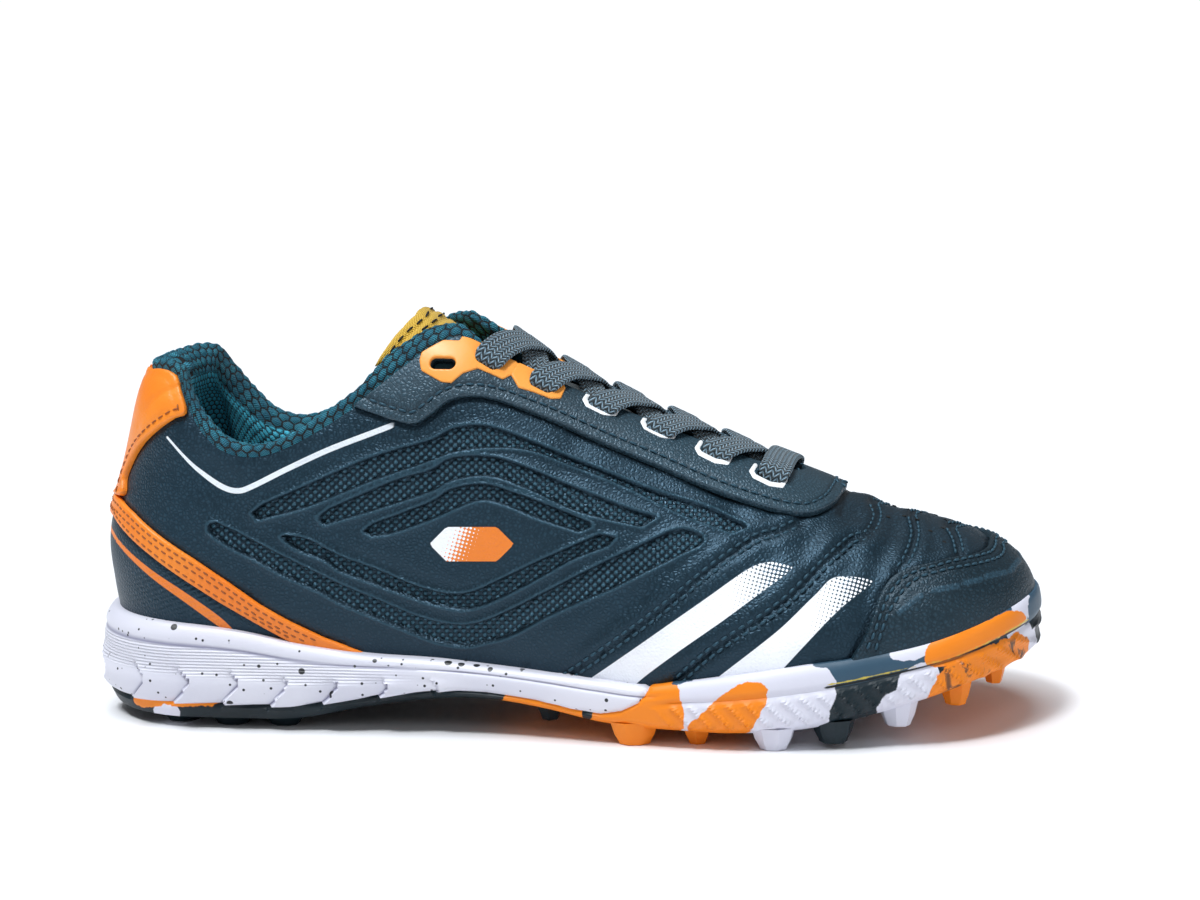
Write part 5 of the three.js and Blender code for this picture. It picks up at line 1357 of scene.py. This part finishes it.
fadein = smoothstep(ws, 2.5, 5.0) * smoothstep(-ws, -(ws.max(1, keepdims=True) - 1), -(ws.max(1, keepdims=True) - 5))
G = G + nrm * ((smoothstep(cell, 0.0, 0.34) - 0.4) * relief * fadein)[..., None]
n_, m_ = G.shape[:2]
V = G.reshape(-1, 3)
F = grid_faces(n_, m_, sgn < 0)
# close both ends
capv, capf = [], []
for i in (0, n_ - 1):
    c0 = G[i].mean(0)
    k = len(V) + len(capv)
    capv.append(c0)
    for j in range(m_ - 1):
        a, b = i * m_ + j, i * m_ + j + 1
        capf.append((a, b, k) if (i == 0) == (sgn > 0) else (b, a, k))
V = np.concatenate([V, np.array(capv)])
F = np.concatenate([F, np.array(capf)])
make("collar_mesh_padding", V, F, M["collar"], ("collar_padding",), {"u": np.concatenate([us.ravel(), [0, 0]]), "w": np.concatenate([ws.ravel(), [0, 0]]), "zone": np.concatenate([zs.ravel(), [0, 0]])}, None)

# ------------------------------------------------------------------ tongue
nc, nr = 44, 150
cc = np.sin(np.linspace(-math.pi / 2, math.pi / 2, nc) * 0.96) / math.sin(math.pi / 2 * 0.96)
TOPG, BOT = np.empty((nr, nc, 3)), np.empty((nr, nc, 3))
uu, ww, tp = np.empty((nr, nc)), np.empty((nr, nc)), np.empty((nr, nc))
for j, c in enumerate(cc):
    sb = float(np.interp(abs(c) * 20.5, TONGUE_BACK[:, 0], TONGUE_BACK[:, 1]))
    rr = np.linspace(0, 1, nr) ** 1.25
    s = sb + rr * (216.5 - sb)
    y = ridge_y(s) + c * straight(TONGUE, s)
    P, N = face(s, y)
    depth = np.interp(s, [118, 127, 146], [6.9, 6.2, 2.7])
    endd = s - sb
    puff = 0.6 * (1 - abs(c) ** 4) * smoothstep(endd, 1, 8) * smoothstep(-s, -125, -110)
    puff = puff - 0.55 * np.exp(-((endd - 5.0) / 0.7) ** 2) - 0.55 * np.exp(-((endd - 9.0) / 0.7) ** 2)
    rim = np.sqrt(np.clip(1 - (1 - np.clip((1 - abs(c)) * 20 / 2.2, 0, 1)) ** 2, 0, 1)) * np.sqrt(np.clip(1 - (1 - np.clip(endd / 2.2, 0, 1)) ** 2, 0, 1))
    TOPG[:, j] = P - N * (depth + 2.3)[:, None] + N * ((2.3 + puff) * rim)[:, None]
    BOT[:, j] = P - N * (depth + 2.3)[:, None] - N * (2.3 * rim)[:, None]
    uu[:, j], ww[:, j] = endd, c * 20
    tp[:, j] = endd - 24
V = np.concatenate([TOPG.reshape(-1, 3), BOT.reshape(-1, 3)])
Fa = grid_faces(nr, nc)
n0 = normals_of(TOPG.reshape(-1, 3), Fa)
flip = n0[(nr // 2) * nc + nc // 2, 2] < 0
Fa = Fa[:, ::-1] if flip else Fa
Fb = Fa[:, ::-1] + nr * nc
E = border(Fa)
W = np.concatenate([np.stack([E[:, 0], E[:, 0] + nr * nc, E[:, 1] + nr * nc], 1), np.stack([E[:, 0], E[:, 1] + nr * nc, E[:, 1]], 1)])
make("tongue_padded", V, np.concatenate([Fa, Fb, W]), M["tongue"], ("tongue",), {"u": np.tile(uu.ravel(), 2), "w": np.tile(ww.ravel(), 2), "top": np.tile(tp.ravel(), 2)}, 60)
TN = normals_of(TOPG.reshape(-1, 3), Fa).reshape(nr, nc, 3)
for want in (3.8, 7.6):
    P, N = [], []
    for j in range(3, nc - 3):
        i = int(np.argmin(np.abs(uu[:, j] - want)))
        P.append(TOPG[i, j])
        N.append(TN[i, j])
    black.append(stitch_row(np.array(P) + np.array(N) * 0.12, np.array(N), 2.6, 3.8, 0.32))
V, F = join(black)
make("tongue_stitches", V, F, M["stitch_black"], (), None, 60)


# ------------------------------------------------------------------ laces
def ribbon(name, node, runs):
    parts, U, Wd = [], [], []
    for pts, sgn_ in runs:
        q = smooth(pts, 14)
        s, y, h = q[:, 0], q[:, 1], q[:, 2]
        P, N = face(s, ridge_y(s) + y)
        C = P + N * h[:, None]
        L = np.concatenate([[0], np.cumsum(np.linalg.norm(np.diff(C, axis=0), axis=1))])
        x = np.linspace(0, L[-1], int(L[-1] / 0.7))
        C = np.stack([np.interp(x, L, C[:, k]) for k in range(3)], 1)
        N = np.stack([np.interp(x, L, N[:, k]) for k in range(3)], 1)
        for _ in range(3):
            C[1:-1] = (C[:-2] + 2 * C[1:-1] + C[2:]) / 4
        D = np.gradient(C, axis=0)
        D /= np.linalg.norm(D, axis=1, keepdims=True)
        late = np.cross(D, N)
        late /= np.maximum(np.linalg.norm(late, axis=1, keepdims=True), 1e-9)
        early = np.array([1.0, 0, -0.4]) * sgn_
        wgt = smoothstep(x, 3.0, 8.0)[:, None]
        A_ = early * (1 - wgt) + late * wgt
        A_ -= D * (A_ * D).sum(1, keepdims=True)
        A_ /= np.linalg.norm(A_, axis=1, keepdims=True)
        O = np.cross(A_, D)
        width = np.interp(x, [0, 2.5, 6.5, L[-1] - 5, L[-1]], [5.6, 6.2, 9.2, 9.2, 8.0])
        th = 1.3
        k = 20
        ring = []
        for a in np.linspace(0, 2 * math.pi, k + 1)[:-1]:
            cx_, cy_ = math.cos(a), math.sin(a)
            ring.append((math.copysign(abs(cx_) ** 0.55, cx_), math.copysign(abs(cy_) ** 0.7, cy_)))
        ring = np.array(ring)
        belly = 1 + 0.12 * (np.abs(ring[:, 0]) > 0.7)
        V = C[:, None] + A_[:, None] * (ring[None, :, 0:1] * width[:, None, None] / 2) + O[:, None] * (ring[None, :, 1:2] * belly[None, :, None] * th / 2)
        n = len(x)
        F = []
        i, j = np.meshgrid(np.arange(n - 1), np.arange(k), indexing="ij")
        a, b = (i * k + j).ravel(), (i * k + (j + 1) % k).ravel()
        F = np.concatenate([np.stack([a, a + k, b + k], 1), np.stack([a, b + k, b], 1)])
        caps = [(0, j_, j_ + 1) for j_ in range(1, k - 1)] + [((n - 1) * k, (n - 1) * k + j_ + 1, (n - 1) * k + j_) for j_ in range(1, k - 1)]
        F = np.concatenate([F, np.array(caps)])
        vol = np.cross(V[0, 5] - V[0, 0], V[1, 0] - V[0, 0])
        parts.append((V.reshape(-1, 3), F[:, ::-1]))
        U.append(np.repeat(x, k))
        Wd.append((ring[None, :, 0] * width[:, None] / 2).ravel())
    V, F = join(parts)
    make(name, V, F, M["lace"], (node,), {"u": np.concatenate(U), "w": np.concatenate(Wd)}, 60)


LIFT = GAP + FACING_T + 0.5
laced = HOLES[1:]
for i in range(len(laced) - 1):
    (s0, o0), (s1, o1) = laced[i], laced[i + 1]
    edge_ = float(straight(THROAT, np.array([s1]))[()]) - 3.9
    base_h = LIFT + [0.5, 0.3, 0.2, 0.1, 0.1][i] + 0.3
    runs = []
    for sg, lift in ((-1, 0.55), (1, -0.95)):
        a = np.array([s0, sg * (o0 + 0.2)])
        b = np.array([s1 - 2.5, -sg * edge_])

        def mix_(u, h):
            p = a * (1 - u) + b * u
            return (p[0], p[1], h)
        runs.append(([(s0 - 0.2, sg * (o0 + 0.9), -2.4), (s0, sg * (o0 + 0.7), 0.6), mix_(0.01, base_h + 0.3), mix_(0.12, base_h + 0.7), mix_(0.3, base_h + 0.6 + lift), mix_(0.5, base_h + 0.4 + lift), mix_(0.72, 2.9 + lift), mix_(0.9, 1.2), mix_(1.03, -0.2), mix_(1.2, -2.6)], -sg))
    ribbon("lace_run_%d" % (i + 1), "lace_cross_%d" % (i + 1), runs)
s0, o0 = laced[-1]
bar = [(s0 - 0.2, -(o0 + 0.9), -2.4), (s0 + 0.2, -(o0 + 0.7), 0.6), (s0 + 0.6, -(o0 - 0.6), LIFT + 1.2), (s0 + 1, -(o0 - 5), LIFT + 1.5), (s0 + 1, -5, LIFT + 1.1), (s0 + 1, 5, LIFT + 1.1), (s0 + 1, o0 - 5, LIFT + 1.5), (s0 + 0.6, o0 - 0.6, LIFT + 1.2), (s0 + 0.2, o0 + 0.7, 0.6), (s0 - 0.2, o0 + 0.9, -2.4)]
ribbon("lace_run_6", "lace_bar", [(bar, 1)])


# ------------------------------------------------------------------ sole
def sole_table(s, k):
    return cubic(SOLE[:, 0], SOLE[:, k], np.clip(s, 0, 280))


def sole_grid():
    nw, nu = 34, 16
    grids = []
    for side in (0, 1):
        s0, y0, dx, dy, pts = sections(side, ts)
        r = pts[:, 1, 0]
        tip = s0 + dx * r
        under, rim = sole_table(tip, 1), sole_table(tip, 2)
        a = [sole_table(tip, 3 + k) for k in range(4)]
        h = rim - under
        rows = np.stack([
            np.stack([r + a[0] - 0.9, under + 0.05], -1), np.stack([r + a[0] + 0.1, under + 0.25], -1), np.stack([r + a[1] * 0.8, under + h * 0.16], -1), np.stack([r + a[1], under + h * 0.36], -1),
            np.stack([r + a[2], under + h * 0.66], -1), np.stack([r + a[2] * 0.72 + a[3] * 0.28, under + h * 0.88], -1), np.stack([r + a[3] + 0.1, rim - 0.15], -1), np.stack([r + a[3] - 0.7, rim + 0.1], -1), np.stack([r - 2.5, rim + 0.2], -1)], 1)
        G = np.empty((len(ts), nw + nu, 3))
        Q = np.empty((len(ts), nw + nu))
        for i in range(len(ts)):
            q = smooth(rows[i], 8)
            L = np.concatenate([[0], np.cumsum(np.linalg.norm(np.diff(q, axis=0), axis=1))])
            x = np.linspace(0, L[-1], nw)
            R, Z = np.interp(x, L, q[:, 0]), np.interp(x, L, q[:, 1])
            ru = rows[i, 0, 0] * np.linspace(0, 1, nu + 1)[:-1]
            su = s0[i] + dx[i] * ru
            zu = sole_table(su, 1)
            w = (np.linspace(0, 1, nu + 1)[:-1]) ** 3
            zu = zu * (1 - w) + rows[i, 0, 1] * w
            R, Z = np.concatenate([ru, R]), np.concatenate([zu, Z])
            G[i] = np.stack([s0[i] + dx[i] * R, y0[i] + dy[i] * R, Z], -1)
            Q[i] = (Z - under[i]) / h[i]
            Q[i, :nu] = -1
        grids.append((G, Q))
    m = nw + nu
    vx, vy = project(grids[0][0].reshape(-1, 3))
    lowx = np.repeat(vx.reshape(len(ts), m)[:, nu:nu + 1], m, 1)
    lowy = np.repeat(vy.reshape(len(ts), m)[:, nu:nu + 1], m, 1)
    vx, vy = vx.reshape(len(ts), m), vy.reshape(len(ts), m)
    vx[:, :nu], vy[:, :nu] = lowx[:, :nu], lowy[:, :nu]
    V = np.concatenate([g.reshape(-1, 3) for g, _ in grids])
    A = {"q": np.concatenate([q.ravel() for _, q in grids]), "px": np.tile(vx.ravel(), 2), "py": np.tile(vy.ravel(), 2), "t": np.tile(np.repeat(ts, m), 2)}
    F = np.concatenate([grid_faces(len(ts), m), grid_faces(len(ts), m, True, len(ts) * m)])
    V, F, A = weld(V, F, A)
    return Skin(V, normals_of(V, F), F, A)


sole = sole_grid()
s, z, q = sole.V[:, 0], sole.V[:, 2], sole.A["q"]
split_line = np.interp(s, SPLIT[:, 0], SPLIT[:, 1])
near_end = (s - 173.8)
fld = np.where(s < 165, split_line - z, np.maximum(split_line - z, near_end))
fld = np.where(s > 176, 5.0, fld)
fld = np.where(s > 170, segment_distance(np.stack([s, z], 1), SPLIT[12:]) * np.sign(fld), fld)
sole.A["split"] = fld  # below 0: foam
sole.A["z"] = z.copy()
wall = smoothstep(q, 0.0, 0.06)
# rim line, facets and slashes
fore = smoothstep(s, 172, 182)
d = -0.55 * np.exp(-((q - 0.80) / 0.035) ** 2) * wall * (1 - fore)
scale_w = ((s - 6 + 0.9 * np.abs(z - 14.5)) / 15.0) % 1.0
heelish = smoothstep(-s, -128, -96) * smoothstep(q, 0.08, 0.2) * smoothstep(-q, -0.62, -0.46)
d += heelish * (2.1 * (1 - scale_w) - 0.8)
groove = -0.8 * np.exp(-((q - 0.62) / 0.05) ** 2) * fore
d += groove
slash_u = (s * 0.94 + (z - 6) * 0.95) / 5.4
slash = np.exp(-(((slash_u % 1.0) - 0.5) / 0.16) ** 2) * fore * smoothstep(q, 0.05, 0.15) * smoothstep(-q, -0.6, -0.5)
d += 0.55 * slash
sole.A["slash"] = slash
sole.A["strip"] = smoothstep(q, 0.60, 0.64) * fore
sole.A["smear"] = smoothstep(sole.A["px"], 935, 950) * smoothstep(-q, -0.58, -0.5) * smoothstep(q, -0.1, 0.05)
# groove: marks the rim groove and the facets' hollows, where the foam gets painted shade.
sole.A["groove"] = np.exp(-((q - 0.80) / 0.03) ** 2) * wall * (1 - fore) + heelish * smoothstep(scale_w, 0.86, 1.0)
sole.A["ribs"] = smoothstep(-s, -110, -70) * smoothstep(q, 0.46, 0.54) * smoothstep(-q, -0.80, -0.74)
d -= 0.9 * np.exp(-(sole.A["split"] / 0.55) ** 2)
sole.A["d"] = d

RUBBER = {
    "f_orange": [[(596, 735), (598, 700), (640, 684), (672, 684), (682, 700), (676, 735)], [(690, 735), (700, 712), (745, 682), (768, 690), (757, 722), (738, 740)], [(934, 668), (934, 640), (1012, 612), (1014, 632)], [(938, 715), (938, 674), (1018, 634), (1020, 672)], [(142, 706), (142, 694), (216, 696), (216, 704)], [(500, 735), (506, 697), (575, 703), (578, 735)], [(984, 700), (984, 668), (1010, 660), (1010, 690)]],
    "f_white": [[(676, 760), (678, 684), (826, 668), (824, 740), (812, 760)], [(895, 660), (895, 640), (934, 630), (934, 652)], [(902, 735), (902, 678), (938, 664), (938, 730)], [(1012, 640), (1012, 600), (1028, 596), (1028, 632)], [(1018, 665), (1018, 634), (1032, 622), (1032, 655)], [(155, 718), (155, 703), (176, 703), (176, 718)], [(748, 770), (748, 735), (795, 735), (795, 770)], [(876, 735), (880, 700), (916, 690), (918, 735)]],
}


def rubber_fields(pix):
    out = {k: np.min([area_distance(pix, smooth(np.array(p, float), 4, True), 60) for p in v], 0) for k, v in RUBBER.items()}
    line_y = smooth([(825, 686), (903, 670), (951, 658), (990, 642), (1028, 620)])
    out["f_yellow"] = path_distance(pix, line_y) - 0.26
    out["f_dark"] = path_distance(pix, line_y + (0, 2.4)) - 0.42
    return out


pix = np.stack([sole.A["px"], sole.A["py"]], 1)
for k, v in rubber_fields(pix).items():
    sole.A[k] = v
foam = clip(sole, "split", 0.0)
sole.A["-split"] = -sole.A["split"]
rub = clip(sole, "-split", 0.0)
V, F, A = with_rim(foam, foam.A["d"], -3.0)
make("midsole_foam", V, F, M["foam"], ("midsole",), pick(A, "q", "z", "groove", "ribs"), 38)
V, F, A = with_rim(rub, rub.A["d"], -3.0)
names = ("f_orange", "f_white", "f_yellow", "f_dark", "slash", "strip", "smear")
STUD_COLOUR = {141.2: 0, 168.1: 2, 185.9: 2, 208.2: 1, 224.6: 0, 242.1: 1, 257.4: 2, 267.4: 2}
VV, FF, AA = [V], [F], {k: [A[k]] for k in names}
count = len(V)
for s, y, l, w, share, turn, tip in STUDS:
    sides = 8 if l > 9 else 6
    root = float(sole_table(np.array([s]), 1)[0]) + 1.5
    rings = [(1.0, root), (1.0 - (1 - share) * 0.5, root + (tip - root) * 0.55), (share, tip + 0.9), (share * 0.97, tip + 0.35), (share * 0.86, tip)]
    P = []
    for k, zz in rings:
        for j in range(sides):
            a = (j + 0.5) * 2 * math.pi / sides
            x_, y_ = 0.5 * 1.14 * k * l * math.cos(a), 0.5 * 1.14 * k * w * math.sin(a)
            c_, s_ = math.cos(math.radians(turn)), math.sin(math.radians(turn))
            P.append((s + x_ * c_ - y_ * s_, y + x_ * s_ + y_ * c_, zz))
    P.append((s, y, tip))
    P.append((s, y, root))
    P = np.array(P)
    Fq = []
    n = sides
    for i in range(len(rings) - 1):
        for j in range(n):
            a, b = i * n + j, i * n + (j + 1) % n
            Fq += [(a, a + n, b + n), (a, b + n, b)]
    k0 = (len(rings) - 1) * n
    for j in range(n):
        Fq.append((k0 + j, len(P) - 2, k0 + (j + 1) % n))
        Fq.append((j, (j + 1) % n, len(P) - 1))
    Fq = np.array(Fq)
    vol = (np.cross(P[Fq[:, 0]], P[Fq[:, 1]]) * P[Fq[:, 2]]).sum()
    if vol < 0:
        Fq = Fq[:, ::-1]
    # its colour is that of the wall nearest to it
    cx_, cy_ = project(np.array([[s, -abs(y) if y < 0 else -y, 0.5]]))
    fl = rubber_fields(np.array([[cx_[0], cy_[0] - 6]]))
    VV.append(P)
    FF.append(Fq + count)
    if s in STUD_COLOUR:
        fl["f_orange"], fl["f_white"] = [(9.0, -9.0)[STUD_COLOUR[s] == 2]], [(9.0, -9.0)[STUD_COLOUR[s] == 1]]
    for k in names:
        AA[k].append(np.full(len(P), float(fl[k][0]) if k in ("f_orange", "f_white") else (0.0 if k in ("slash", "strip", "smear") else 5.0)))
    count += len(P)
make("outsole_rubber", np.concatenate(VV), np.concatenate(FF), M["rubber"], ("outsole",), {k: np.concatenate(v) for k, v in AA.items()}, 34)

# ------------------------------------------------------------------ insole keeps its own shape
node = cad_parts["insole"]
node.data.materials.clear()
node.data.materials.append(M["insole"])

# ------------------------------------------------------------------ stage
fm = Mat("floor_pale", (0.93, 0.93, 0.94), 0.7)
floor_me = bpy.data.meshes.new("floor")
R = 25.0
vs = [(-R, -R, 0), (R, -R, 0), (R, R, 0), (-R, R, 0)]
floor_me.from_pydata(vs, [], [(0, 1, 2, 3)])
floor = bpy.data.objects.new("floor", floor_me)
floor_me.materials.append(fm.mat)
bpy.context.scene.collection.objects.link(floor)

world = bpy.data.worlds.new("studio")
world.use_nodes = True
world.node_tree.nodes["Background"].inputs[0].default_value = (0.95, 0.97, 1.0, 1)
world.node_tree.nodes["Background"].inputs[1].default_value = 0.18
bpy.context.scene.world = world


def area(name, loc, aim, size, power, size_y=None, colour=(1, 1, 1)):
    L = bpy.data.lights.new(name, "AREA")
    L.energy, L.size, L.color = power, size, colour
    if size_y:
        L.shape, L.size_y = "RECTANGLE", size_y
    o = bpy.data.objects.new(name, L)
    bpy.context.scene.collection.objects.link(o)
    o.location = loc
    o.rotation_euler = (Vector(aim) - Vector(loc)).to_track_quat("-Z", "Y").to_euler()
    return o


sun_data = bpy.data.lights.new("sky", "SUN")
sun_data.color = (0.93, 0.97, 1.0)
sun_data.energy, sun_data.angle = 2.1, math.radians(42)
sun = bpy.data.objects.new("sky", sun_data)
sun.rotation_euler = Vector((-0.16, -0.06, 0.98)).to_track_quat("Z", "Y").to_euler()
bpy.context.scene.collection.objects.link(sun)
area("key", (0.30, -0.75, 0.60), (0.02, 0, 0.06), 0.30, 0.75, None, (0.92, 0.96, 1.0))
low_sun = bpy.data.lights.new("key_sun", "SUN")
low_sun.energy, low_sun.angle = 2.0, math.radians(12)
low_sun.color = (0.93, 0.97, 1.0)
key_sun = bpy.data.objects.new("key_sun", low_sun)
key_sun.rotation_euler = Vector((-0.22, -0.38, 0.90)).to_track_quat("Z", "Y").to_euler()
bpy.context.scene.collection.objects.link(key_sun)
area("front", (0.95, -0.30, 0.30), (0.08, 0, 0.06), 0.4, 0.9)

cam_data = bpy.data.cameras.new("photo_camera")
cam_data.sensor_fit = "HORIZONTAL"
cam_data.sensor_width = 36.0
cam_data.lens = FOCAL * 36.0 / 1200.0
cam_data.clip_start, cam_data.clip_end = 0.05, 20
cam = bpy.data.objects.new("photo_camera", cam_data)
bpy.context.scene.collection.objects.link(cam)
loc = (EYE + SHIFT) * MM
cam.matrix_world = Matrix(((right[0], upv[0], back[0], loc[0]), (right[1], upv[1], back[1], loc[1]), (right[2], upv[2], back[2], loc[2]), (0, 0, 0, 1)))
bpy.context.scene.camera = cam
bpy.context.scene.view_settings.view_transform = "Standard"
bpy.context.scene.view_settings.look = "None"
